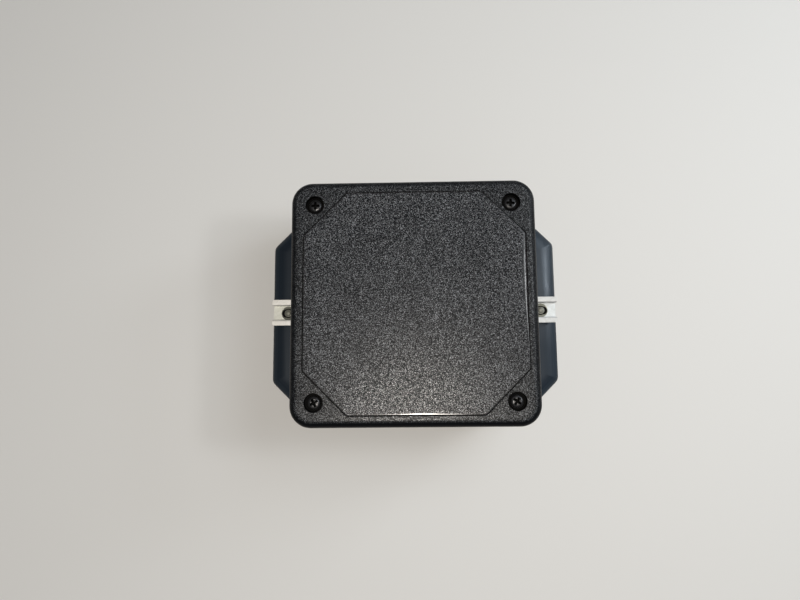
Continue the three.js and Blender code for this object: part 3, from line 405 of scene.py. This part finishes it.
def dull_rivet():
    """Rivet heads: a scuffed olive crown that stands on a shoulder painted near black as painted shade."""
    paint = Paint("dull_rivet")
    bloom = paint.noise(1.2, detail=4.0)
    crown = rivet_spots(paint, CROWN_RADIUS)
    olive = paint.blend(bloom, rgb(0.22, 0.22, 0.19), rgb(0.12, 0.12, 0.10))
    paint.set(
        # painted shade: outside the crown the head is painted near black
        Base_Color=paint.blend(crown, rgb(0.003, 0.003, 0.003), olive),
        Metallic=paint.math("MULTIPLY", crown, 0.5),
        Roughness=paint.between(bloom, 0.3, 0.7, 0.45, 0.6),
        Specular_IOR_Level=paint.between(crown, 0.0, 1.0, 0.08, 0.5),
        Normal=paint.bump(bloom, 0.04),
    )
    return paint.material


def black_oxide():
    """Screws in black oxide, scuffed brighter in small patches by the driver."""
    paint = Paint("black_oxide")
    scuff = paint.between(paint.noise(0.55, detail=4.0, rough=0.7), 0.42, 0.62)
    paint.set(
        Base_Color=paint.blend(scuff, rgb(0.016, 0.016, 0.017), rgb(0.055, 0.055, 0.058)),
        Metallic=0.65,
        Roughness=paint.between(scuff, 0.0, 1.0, 0.38, 0.22),
        Normal=paint.bump(scuff, 0.015),
    )
    return paint.material


# Hands have polished the bracket's +X edge within this reach of a place that far along +Y.
HANDLED = {"along": 24.0, "reach": 46.0, "soft": 36.0}
SCRATCH = (0.12, 9.0, 1.0)


def satin_bracket():
    """Smooth slate-blue plastic with faint flow marks and fine handling scratches.

    It is matt, apart from one place on the +X edge that is polished by handling. The rounded edge
    has painted light: its colour is a little paler than the flat's.
    """
    paint = Paint("satin_slate")
    flow = paint.noise(20.0, detail=3.0, warp=1.2)
    skin = paint.noise(0.5, detail=3.0)
    scratches = paint.between(paint.streaks(SCRATCH, detail=2.0), 0.68, 0.74)
    dust = paint.between(paint.noise(0.9, detail=4.0, rough=0.8), 0.68, 0.8)
    patches = paint.between(paint.noise(7.0, detail=4.0, warp=0.6), 0.3, 0.7, 0.75, 1.15)
    edge = box_mm("mounting_bracket")[1].x
    spot = paint.round_spot((edge, HANDLED["along"]), HANDLED["reach"], HANDLED["soft"])
    gloss = paint.math("MULTIPLY", spot, patches)
    flat = paint.blend(flow, rgb(0.006, 0.0105, 0.0175), rgb(0.009, 0.0145, 0.023))
    # painted light: the rounded edge is painted paler than the flat
    base = paint.blend(paint.facing("Z", 0.98, 0.86), flat, rgb(0.019, 0.027, 0.037))
    relief = paint.bump(scratches, -0.01, strength=0.5, over=paint.bump(skin, 0.012, strength=0.6))
    paint.set(
        Base_Color=paint.blend(paint.math("MULTIPLY", dust, 0.35), base, rgb(0.16, 0.18, 0.21)),
        Roughness=paint.between(gloss, 0.0, 1.0, 0.47, 0.36),
        Specular_IOR_Level=paint.between(gloss, 0.0, 1.0, 0.27, 0.66),
        Specular_Tint=rgb(0.84, 0.92, 1.0),
        Normal=relief,
    )
    return paint.material


def plain(name, colour, roughness, metallic=0.0, grain_mm=0.4, grain_depth_mm=0.01, tint=0.8, **extra):
    """A moulded or machined surface with fine grain and slight colour variation."""
    paint = Paint(name)
    clouds = paint.noise(6.0, detail=4.0, rough=0.6)
    grain = paint.noise(grain_mm, detail=3.0)
    darker = tuple(channel * tint for channel in colour[:3]) + (1.0,)
    paint.set(
        Base_Color=paint.blend(paint.between(clouds, 0.35, 0.7), colour, darker),
        Metallic=metallic,
        Roughness=paint.between(clouds, 0.3, 0.7, max(roughness - 0.04, 0.02), roughness + 0.06),
        Normal=paint.bump(grain, grain_depth_mm),
        **extra,
    )
    return paint.material


TRACK_GRID = 4.8
TRACK_WIDTH = 0.03       # as a share of the grid


def circuit_board():
    """Green solder mask over copper: patches of fine tracks under a glossy skin."""
    paint = Paint("solder_mask")
    grid = paint.add("ShaderNodeTexBrick", {
        "Vector": paint.place,
        "Scale": 1 / (TRACK_GRID * MM),
        "Mortar Size": TRACK_WIDTH,
        "Color1": BLACK,
        "Color2": BLACK,
        "Mortar": WHITE,
    }).outputs["Fac"]
    broken = paint.between(paint.noise(7.0, detail=1.0), 0.48, 0.5)
    tracks = paint.math("MULTIPLY", grid, broken)
    paint.set(
        Base_Color=paint.blend(tracks, rgb(0.004, 0.055, 0.022), rgb(0.012, 0.12, 0.046)),
        Roughness=paint.between(paint.noise(0.9, detail=3.0), 0.3, 0.7, 0.22, 0.34),
        Normal=paint.bump(tracks, 0.035),
        Coat_Weight=0.3,
        Coat_Roughness=0.1,
    )
    return paint.material


def scan_filter():
    """The window's infrared filter: near-black red plastic with a hard polished skin."""
    paint = Paint("infrared_filter")
    waves = paint.noise(14.0, detail=1.0)
    dust = paint.between(paint.noise(0.7, detail=4.0, rough=0.8), 0.7, 0.8)
    paint.set(
        Base_Color=paint.blend(
            paint.math("MULTIPLY", dust, 0.12), rgb(0.009, 0.0012, 0.002), rgb(0.10, 0.08, 0.08)
        ),
        Roughness=paint.between(dust, 0.0, 1.0, 0.04, 0.16),
        Normal=paint.bump(waves, 0.03, strength=0.3),
        Specular_IOR_Level=0.35,
    )
    return paint.material


look = {
    "bracket": satin_bracket(),
    "zinc": zinc_plate(),
    "rivet": dull_rivet(),
    "housing_plastic": housing_grain(),
    "grained_plastic": lid_border(),
    "panel": lid_panel(),
    "bead": polished_bead(),
    "well": recess_shade(),
    "rubber": plain("black_rubber", rgb(0.014, 0.014, 0.015), 0.75, grain_mm=0.3, grain_depth_mm=0.02),
    "black_screw": black_oxide(),
    "window": scan_filter(),
    "nickel": plated("nickel_plate", rgb(0.66, 0.62, 0.54), rgb(0.5, 0.47, 0.41), 0.22),
    "black_plastic": plain("black_moulding", rgb(0.012, 0.012, 0.013), 0.42),
    "light_pipe": plain("clear_pipe", rgb(0.8, 0.9, 0.84), 0.12, Transmission_Weight=0.7),
    "foot_plastic": plain("glass_filled", rgb(0.055, 0.058, 0.062), 0.5, grain_mm=0.6, grain_depth_mm=0.03),
    "steel": plated("bright_steel", rgb(0.62, 0.62, 0.63), rgb(0.45, 0.45, 0.46), 0.24),
    "aluminium": plated("machined_aluminium", rgb(0.72, 0.73, 0.74), rgb(0.67, 0.68, 0.69), 0.3),
    "lens": plain("coated_glass", rgb(0.75, 0.85, 0.95), 0.03, tint=0.95, Transmission_Weight=0.9),
    "brass": plated("gold_plate", rgb(0.83, 0.62, 0.28), rgb(0.66, 0.47, 0.2), 0.22),
    "magnet": plain(
        "sintered", rgb(0.12, 0.125, 0.13), 0.45, metallic=0.8, grain_mm=0.2, grain_depth_mm=0.02
    ),
    "mirror": plated("turned_mirror", rgb(0.92, 0.93, 0.94), rgb(0.88, 0.89, 0.9), 0.08),
    "circuit_board": circuit_board(),
    "cable": plain("film", rgb(0.62, 0.6, 0.54), 0.4),
}


# ---------------------------------------------------------------- carried-over CAD nodes

FINE_ROUND = 0.08        # the rounds on edges, in millimetres, where the next table names no other
SMALL_ROUND = {
    "mounting_bracket": 0.25,
    "mounting_rail": 0.12,
    "lid": 0.15,
    "base_housing": 0.25,
    "rail_foot": 0.2,
    "rail_latch": 0.2,
}
WELD_WITHIN = 0.001 * MM
ROUND_ABOVE = 40.0       # the least bend, in degrees, of an edge that is rounded


def round_edges(piece, width_mm, above):
    """Small rounds on the edges that bend by more than that angle, in degrees."""
    rounds = piece.modifiers.new("rounds", "BEVEL")
    rounds.width = width_mm * MM
    rounds.segments = 2
    rounds.limit_method = "ANGLE"
    rounds.angle_limit = math.radians(above)


def dress(node, slot):
    """Gives a CAD node its material, smooth curved faces and small rounds on its sharp edges."""
    piece = nodes[node]
    mesh = piece.data
    if not mesh.materials:
        mesh.materials.append(None)
    for index in range(len(piece.material_slots)):
        piece.material_slots[index].material = look[slot]
    for polygon in mesh.polygons:
        polygon.use_smooth = True
    weld = piece.modifiers.new("weld", "WELD")
    weld.merge_threshold = WELD_WITHIN
    round_edges(piece, SMALL_ROUND.get(node, FINE_ROUND), ROUND_ABOVE)
    normals = piece.modifiers.new("normals", "WEIGHTED_NORMAL")
    normals.keep_sharp = True


for entry in frame["record"]["subparts"]:
    dress(entry["node"], entry["material_slot"])


# ---------------------------------------------------------------- mesh building


def rounded_polygon(points, radius, steps):
    """An anticlockwise outline through these points, with every corner rounded by an arc."""
    outline = []
    for index, point in enumerate(points):
        here = Vector(point)
        before = (Vector(points[index - 1]) - here).normalized()
        after = (Vector(points[(index + 1) % len(points)]) - here).normalized()
        half = before.angle(after) / 2
        inwards = (before + after).normalized()
        centre = here + inwards * radius / math.sin(half)
        swing = math.pi / 2 - half
        middle = math.atan2(-inwards.y, -inwards.x)
        for step in range(steps + 1):
            angle = middle - swing + 2 * swing * step / steps
            outline.append(centre + radius * Vector((math.cos(angle), math.sin(angle))))
    return outline


def divided(outline, run, pieces):
    """The outline with its straight sides cut into pieces. Each corner has run + 1 points."""
    result = []
    for index, point in enumerate(outline):
        result.append(point)
        if index % (run + 1) == run:
            after = outline[(index + 1) % len(outline)]
            result += [point.lerp(after, k / pieces) for k in range(1, pieces)]
    return result


def circle(centre, radius, count):
    angles = [2 * math.pi * k / count for k in range(count)]
    return [Vector((centre[0] + radius * math.cos(a), centre[1] + radius * math.sin(a))) for a in angles]


CREASE = 40.0            # an edge that bends by more than this, in degrees, stays sharp


class Skin:
    """Builds one closed mesh from rings of points, in millimetres."""

    def __init__(self):
        self.mesh = bmesh.new()

    def ring(self, outline, heights):
        """One ring of points. The height is one number or one for each point."""
        if isinstance(heights, (int, float)):
            heights = [heights] * len(outline)
        return [self.mesh.verts.new((p[0] * MM, p[1] * MM, z * MM)) for p, z in zip(outline, heights)]

    def loop(self, points):
        """One ring of points anywhere in space."""
        return [self.mesh.verts.new(Vector(point) * MM) for point in points]

    def wall(self, rings, material=0):
        """A band of faces from each ring to the next."""
        for lower, upper in zip(rings, rings[1:]):
            for k in range(len(lower)):
                n = (k + 1) % len(lower)
                self.mesh.faces.new((lower[k], lower[n], upper[n], upper[k])).material_index = material

    def cap(self, rings, material):
        """Fills the flat region between an outer ring and any rings inside it."""
        edges = []
        for ring in rings:
            for k in range(len(ring)):
                pair = (ring[k], ring[(k + 1) % len(ring)])
                edges.append(self.mesh.edges.get(pair) or self.mesh.edges.new(pair))
        made = bmesh.ops.triangle_fill(self.mesh, use_beauty=True, edges=edges, normal=(0, 0, 1))
        for item in made["geom"]:
            if isinstance(item, bmesh.types.BMFace):
                item.material_index = material

    def ends(self, rings, material=0):
        """Closes the first and the last ring with a face each."""
        for ring in (rings[0], rings[-1]):
            self.mesh.faces.new(ring).material_index = material

    def face_outwards(self):
        bmesh.ops.recalc_face_normals(self.mesh, faces=self.mesh.faces[:])

    def plain(self, name, materials):
        """The mesh as a plain object, which rides on nothing yet."""
        self.face_outwards()
        data = bpy.data.meshes.new(name)
        self.mesh.to_mesh(data)
        self.mesh.free()
        for material in materials:
            data.materials.append(material)
        made = bpy.data.objects.new(name, data)
        bpy.context.collection.objects.link(made)
        return made

    def piece(self, name, body, slot, materials, crease=CREASE):
        """The finished object, smooth except along edges sharper than the crease angle."""
        self.face_outwards()
        for face in self.mesh.faces:
            face.smooth = True
        for edge in self.mesh.edges:
            edge.smooth = len(edge.link_faces) == 2 and edge.calc_face_angle() < math.radians(crease)
        made = self.plain(name, materials)
        normals = made.modifiers.new("normals", "WEIGHTED_NORMAL")
        normals.keep_sharp = True
        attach(made, body)
        return made


def corners(x, y):
    return [(x, y), (-x, y), (-x, -y), (x, -y)]


# ---------------------------------------------------------------- the lid

LID = {"corner": 11.0, "edge": 4.0, "wall": 3.0, "roof": 2.5, "lip": 0.3}
PANEL = {"inset": 6.3, "chamfer": 22.2, "corner": 2.4, "shift": (0.6, -0.2)}
BEAD = {"width": 0.5, "wander": 0.4, "swell": 1.8, "middle": 13.0, "reach": 36.0, "slope": 0.8}
WANDER_AT = {"scale": 0.045, "layer": 70.0}    # where the bead's unevenness is read from the noise
LAND = {"width": 0.12, "swell": 0.36, "middle": 6.0, "reach": 22.0, "fall": 0.01}
GROOVE = {"width": 0.38, "depth": 0.4, "round": 0.06}
WELL = {"radius": 4.78, "depth": 3.8, "hole": 2.1, "boss": 7.5, "round": 0.1, "ease": 0.03}
PANEL_FLANK = 55.0       # a point further out than this is on the panel's side, not on a chamfer
ARC = {"square": 16, "octagon": 4, "side": 26, "circle": 48, "quarter": 10, "bead": 7}
BORDER, PANEL_TOP, POLISHED, SHADED = 0, 1, 2, 3    # the lid's materials, in its slots' order


def quarter(reach, drop, steps):
    """Insets and drops along a rounded edge, from its side to its top."""
    turns = [math.pi / 2 * k / steps for k in range(steps + 1)]
    return [(reach * (1 - math.cos(t)), drop * (1 - math.sin(t))) for t in turns]


def swell(size, along, flank):
    """A smooth widening along one side: none at its ends, and all of it at its middle."""
    away = min(abs(along - size["middle"]) / size["reach"], 1.0)
    return size["swell"] * (1 - away * away) ** 2 if flank > PANEL_FLANK else 0.0


def bead_width(at):
    """The panel's bead is thin and a little uneven. Along the +X side it is dressed back further."""
    uneven = 1 + BEAD["wander"] * noise.noise(Vector((at.x, at.y, WANDER_AT["layer"])) * WANDER_AT["scale"])
    return BEAD["width"] * uneven + swell(BEAD, at.y, at.x)


def land_width(at):
    """The nearly flat polished strip inside the bead. It is widest on the -Y side."""
    return LAND["width"] + swell(LAND, at.x, -at.y)


def make_lid():
    """The lid: a rounded cap with a groove, a raised octagonal panel, four wells and their bosses."""
    low, high = box_mm("lid")
    half, bottom = high.x, low.z
    screws = [middle_of(f"lid_screw_{number}") for number in SCREW_TURNS]
    panel_top = high.z
    top = panel_top - PANEL_RISE
    roof = top - LID["roof"]
    skin = Skin()

    def square(inset):
        side = half - inset
        return rounded_polygon(corners(side, side), LID["corner"] - inset, ARC["square"])

    def octagon(inset):
        side = half - PANEL["inset"] - inset
        cut = side - PANEL["chamfer"] + inset * (2 - math.sqrt(2))
        points = [(side, cut), (cut, side), (-cut, side), (-side, cut), (-side, -cut), (-cut, -side)]
        points += [(cut, -side), (side, -cut)]
        points = [Vector(point) + Vector(PANEL["shift"]) for point in points]
        outline = rounded_polygon(points, PANEL["corner"] - inset, ARC["octagon"])
        return divided(outline, ARC["octagon"], ARC["side"])

    lip = LID["lip"]
    side = [skin.ring(square(lip), bottom), skin.ring(square(0), bottom + lip)]
    for inset, drop in quarter(LID["edge"], LID["edge"], ARC["quarter"]):
        side.append(skin.ring(square(inset), top - drop))
    inside = [skin.ring(square(LID["wall"]), bottom), skin.ring(square(LID["wall"]), roof)]
    skin.wall([inside[0]] + side, BORDER)
    skin.wall(inside, BORDER)

    width, depth, soft = GROOVE["width"], GROOVE["depth"], GROOVE["round"]
    groove = [
        skin.ring(octagon(-width - soft), top),
        skin.ring(octagon(-width), top - soft),
        skin.ring(octagon(-width + soft), top - depth),
        skin.ring(octagon(-soft), top - depth),
        skin.ring(octagon(0), top - depth + soft),
    ]
    skin.wall(groove[:2], BORDER)
    skin.wall(groove[1:], SHADED)
    base = octagon(0)
    inwards = [(i - b).normalized() for b, i in zip(base, octagon(BEAD["width"]))]
    widths = [bead_width(p) for p in base]
    deepest = PANEL_RISE + depth / 2
    beads = [groove[-1]]
    for share, fall in quarter(1.0, 1.0, ARC["bead"]):
        points = [b + way * width * share for b, way, width in zip(base, inwards, widths)]
        drops = [fall * min(width * BEAD["slope"], deepest) + LAND["fall"] for width in widths]
        beads.append(skin.ring(points, [panel_top - drop for drop in drops]))
    points = [b + way * (width + land_width(b)) for b, way, width in zip(base, inwards, widths)]
    beads.append(skin.ring(points, panel_top))
    skin.wall(beads, POLISHED)
    skin.cap([beads[-1]], PANEL_TOP)

    seat = top - WELL["depth"]
    steps = [
        (WELL["radius"] + WELL["round"], top),
        (WELL["radius"] + WELL["ease"], top - WELL["ease"]),
        (WELL["radius"], top - WELL["round"]),
        (WELL["radius"], seat),
        (WELL["hole"], seat),
        (WELL["hole"], bottom),
        (WELL["boss"], bottom),
        (WELL["boss"], roof),
    ]
    wells, bosses = [], []
    for screw in screws:
        rings = [skin.ring(circle(screw, radius, ARC["circle"]), z) for radius, z in steps]
        skin.wall(rings[:2], BORDER)
        skin.wall(rings[1:5], SHADED)
        skin.wall(rings[4:], BORDER)
        wells.append(rings[0])
        bosses.append(rings[-1])
    skin.cap([side[-1], groove[0]] + wells, BORDER)
    skin.cap([inside[1]] + bosses, BORDER)
    finish = [look[name] for name in ("grained_plastic", "panel", "bead", "well")]
    made = skin.piece("lid_shell", "scanner", "grained_plastic", finish)
    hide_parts("lid")


# ---------------------------------------------------------------- lid screws

SCREW = {"flat": 1.5, "crown": 1.15, "head": 2.3, "shank": 1.65, "tip": 1.4, "point": 0.5, "dome": 0.02}
SCREW_ARC = {"crown": 9, "circle": 64, "cross": 3}
SCREW_ROUND = 0.07
SCREW_ROUND_ABOVE = 45.0
SCREW_CREASE = 32.0
CROSS = {"reach": 2.25, "width": 1.4, "depth": 1.9, "taper": 0.62, "round": 0.25, "above": 0.2}
SCREW_TURNS = {1: -2, 2: 1, 3: 28, 4: -35}    # each screw's cross, in degrees
METAL, RECESS = 0, 1                          # a screw's materials, in its slots' order


def lathe(skin, centre, profile, count, material):
    """A closed solid turned about an upright axis, from radius and height pairs going upwards."""
    rings = [skin.ring(circle(centre, radius, count), z) for radius, z in profile]
    skin.wall(rings, material)
    skin.ends(rings, material)


def make_cross(centre, top, turn):
    """The tool that cuts a driver recess: two tapered bars, one across the other."""
    skin = Skin()
    for angle in (turn, turn + 90):
        spin = Matrix.Rotation(math.radians(angle), 2)
        rings = []
        for share, z in ((CROSS["taper"], top - CROSS["depth"]), (1.0, top + CROSS["above"])):
            outline = corners(CROSS["reach"] * share, CROSS["width"] / 2 * share)
            bar = rounded_polygon(outline, CROSS["round"] * share, SCREW_ARC["cross"])
            rings.append(skin.ring([spin @ point + centre for point in bar], z))
        skin.wall(rings, RECESS)
        skin.ends(rings, RECESS)
    return skin


def without(body, tool):
    """The first object's mesh with the second one's cut out of it."""
    cut = body.modifiers.new("cut", "BOOLEAN")
    cut.operation = "DIFFERENCE"
    cut.solver = "EXACT"
    cut.use_self = True
    cut.object = tool
    bpy.context.view_layer.update()
    whole = body.evaluated_get(bpy.context.evaluated_depsgraph_get())
    mesh = bpy.data.meshes.new_from_object(whole)
    bpy.data.objects.remove(body)
    bpy.data.objects.remove(tool)
    return mesh


def make_screw(number):
    """A pan-head screw with a crowned head and a deep cross, in place of the faceted CAD screw."""
    low, high = box_mm(f"lid_screw_{number}")
    centre = middle_of(f"lid_screw_{number}").to_2d()
    head, top = (high.x - low.x) / 2, high.z
    seat = top - SCREW["head"]
    profile = [
        (SCREW["point"], low.z),
        (SCREW["shank"], low.z + SCREW["tip"]),
        (SCREW["shank"], seat),
        (head, seat),
    ]
    for inset, drop in quarter(head - SCREW["flat"], SCREW["crown"], SCREW_ARC["crown"]):
        profile.append((head - inset, top - drop))
    profile.append((SCREW["flat"] / 2, top + SCREW["dome"]))
    body = Skin()
    lathe(body, centre, profile, SCREW_ARC["circle"], METAL)
    # the cross's walls take the near-black painted shade of the recesses
    finish = [look["black_screw"], look["well"]]
    tool = make_cross(centre, top, SCREW_TURNS[number])
    mesh = without(body.plain("screw_blank", finish), tool.plain("cross_punch", finish))
    shaped = Skin()
    shaped.mesh.from_mesh(mesh)
    bpy.data.meshes.remove(mesh)
    made = shaped.piece(f"pan_screw_{number}", "scanner", "black_screw", finish, SCREW_CREASE)
    round_edges(made, SCREW_ROUND, SCREW_ROUND_ABOVE)
    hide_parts(f"lid_screw_{number}")


make_lid()
for screw_number in SCREW_TURNS:
    make_screw(screw_number)


# ---------------------------------------------------------------- spring and contacts

COIL = {"wire": 0.3, "turns": 6, "steps": 26, "sides": 12}
CONTACT = {"outer": 0.5, "inner": 0.32, "sunk": 0.35, "length": 4.4, "lead_in": 0.08}
CONTACT_RING = {"radius": 2.4, "count": 4, "sides": 16}


def make_spring():
    """A smooth round-wire coil in place of the CAD spring."""
    low, high = box_mm("latch_spring")
    wire, steps = COIL["wire"], COIL["turns"] * COIL["steps"]
    middle = (low + high) / 2
    radius = (high.x - low.x) / 2 - wire
    start, end = low.y + wire, high.y - wire
    skin = Skin()

    def at(step):
        angle = 2 * math.pi * COIL["turns"] * step / steps
        y = start + (end - start) * step / steps
        return Vector((middle.x + radius * math.cos(angle), y, middle.z + radius * math.sin(angle)))

    rings = []
    for step in range(steps + 1):
        along = (at(step + 0.5) - at(step - 0.5)).normalized()
        outwards = (at(step) - Vector((middle.x, at(step).y, middle.z))).normalized()
        across = along.cross(outwards)
        turns = [2 * math.pi * k / COIL["sides"] for k in range(COIL["sides"])]
        rings.append(
            skin.loop(at(step) + wire * (math.cos(t) * outwards + math.sin(t) * across) for t in turns)
        )
    skin.wall(rings)
    skin.ends(rings)
    made = skin.piece("coil_spring", "scanner", "steel", [look["steel"]])
    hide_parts("latch_spring")
    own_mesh(made)


def make_contacts(port):
    """Gold sockets inside the four holes of a connector's insulator."""
    insert = f"{port}_port_insert"
    middle = middle_of(insert)
    face = box_mm(insert)[1].y - CONTACT["sunk"]
    steps = [
        (CONTACT["inner"], face - CONTACT["length"]),
        (CONTACT["outer"], face - CONTACT["length"]),
        (CONTACT["outer"], face),
        (CONTACT["inner"], face - CONTACT["lead_in"]),
    ]
    for number in range(CONTACT_RING["count"]):
        angle = 2 * math.pi * (number + 0.5) / CONTACT_RING["count"]
        x = middle.x + CONTACT_RING["radius"] * math.cos(angle)
        z = middle.z + CONTACT_RING["radius"] * math.sin(angle)
        skin = Skin()
        rings = []
        for radius, y in steps:
            ring = circle((x, z), radius, CONTACT_RING["sides"])
            rings.append(skin.loop((point.x, y, point.y) for point in ring))
        skin.wall(rings + rings[:1])
        skin.piece(f"{port}_contact_{number + 1}", "scanner", "brass", [look["brass"]])


make_spring()
make_contacts("power")
make_contacts("data")


# ---------------------------------------------------------------- stage and light

# The floor and the lights are placed and sized in metres.
FLOOR_SIZE = 2.0
FLOOR_COLOUR = (0.66, 0.656, 0.643)
ROOM_COLOUR = (0.93, 0.96, 1.0)
HORIZON_GLOW = 0.03
ZENITH_GLOW = 0.2
BACKDROP_GLOW = 0.62
DAYLIGHT = (0.86, 0.94, 1.0)
WHITE_LIGHT = (1.0, 1.0, 1.0)
LAMPLIGHT = (1.0, 0.93, 0.84)
AIM = Vector((0.0, 0.0, 0.03))
LIGHTS = {
    "window_light": {"at": (0.56, 0.26, 0.80), "size": (0.7, 0.36), "watts": 2.4, "colour": DAYLIGHT},
    "window_core": {"at": (0.50, 0.085, 0.54), "size": (0.12, 0.07), "watts": 0.75, "colour": WHITE_LIGHT},
    "window_low": {"at": (0.80, 0.40, 0.42), "size": (0.25, 0.25), "watts": 1.8, "colour": DAYLIGHT},
    "warm_lamp": {"at": (0.004, -0.16, 1.05), "size": (0.08, 0.08), "watts": 6.4, "colour": LAMPLIGHT},
}


def make_floor():
    paint = Paint("pale_floor")
    paint.set(Base_Color=rgb(*FLOOR_COLOUR), Roughness=0.7)
    bpy.ops.mesh.primitive_plane_add(size=FLOOR_SIZE)
    floor = bpy.context.object
    floor.name = "floor"
    floor.data.materials.append(paint.material)


def area_light(name, at, size, watts, colour):
    data = bpy.data.lights.new(name, "AREA")
    data.shape = "RECTANGLE"
    data.size, data.size_y = size
    data.energy = watts
    data.color = colour
    light = bpy.data.objects.new(name, data)
    light.location = at
    light.rotation_euler = (AIM - Vector(at)).to_track_quat("-Z", "Y").to_euler()
    bpy.context.collection.objects.link(light)


def make_world():
    """A dim room that is brighter overhead, behind a plain pale backdrop."""
    world = bpy.data.worlds.new("studio")
    world.use_nodes = True
    tree = world.node_tree
    background = tree.nodes["Background"]
    background.inputs["Color"].default_value = rgb(*ROOM_COLOUR)
    direction = tree.nodes.new("ShaderNodeTexCoord").outputs["Generated"]
    height = tree.nodes.new("ShaderNodeSeparateXYZ")
    tree.links.new(direction, height.inputs["Vector"])
    glow = tree.nodes.new("ShaderNodeMapRange")
    glow.inputs["To Min"].default_value = HORIZON_GLOW
    glow.inputs["To Max"].default_value = ZENITH_GLOW
    tree.links.new(height.outputs["Z"], glow.inputs["Value"])
    seen = tree.nodes.new("ShaderNodeLightPath").outputs["Is Camera Ray"]
    shown = tree.nodes.new("ShaderNodeMix")
    shown.inputs["B"].default_value = BACKDROP_GLOW
    tree.links.new(seen, shown.inputs["Factor"])
    tree.links.new(glow.outputs["Result"], shown.inputs["A"])
    tree.links.new(shown.outputs["Result"], background.inputs["Strength"])
    bpy.context.scene.world = world


make_floor()
make_world()
for light_name, settings in LIGHTS.items():
    area_light(light_name, **settings)
bpy.context.scene.view_settings.view_transform = "Standard"
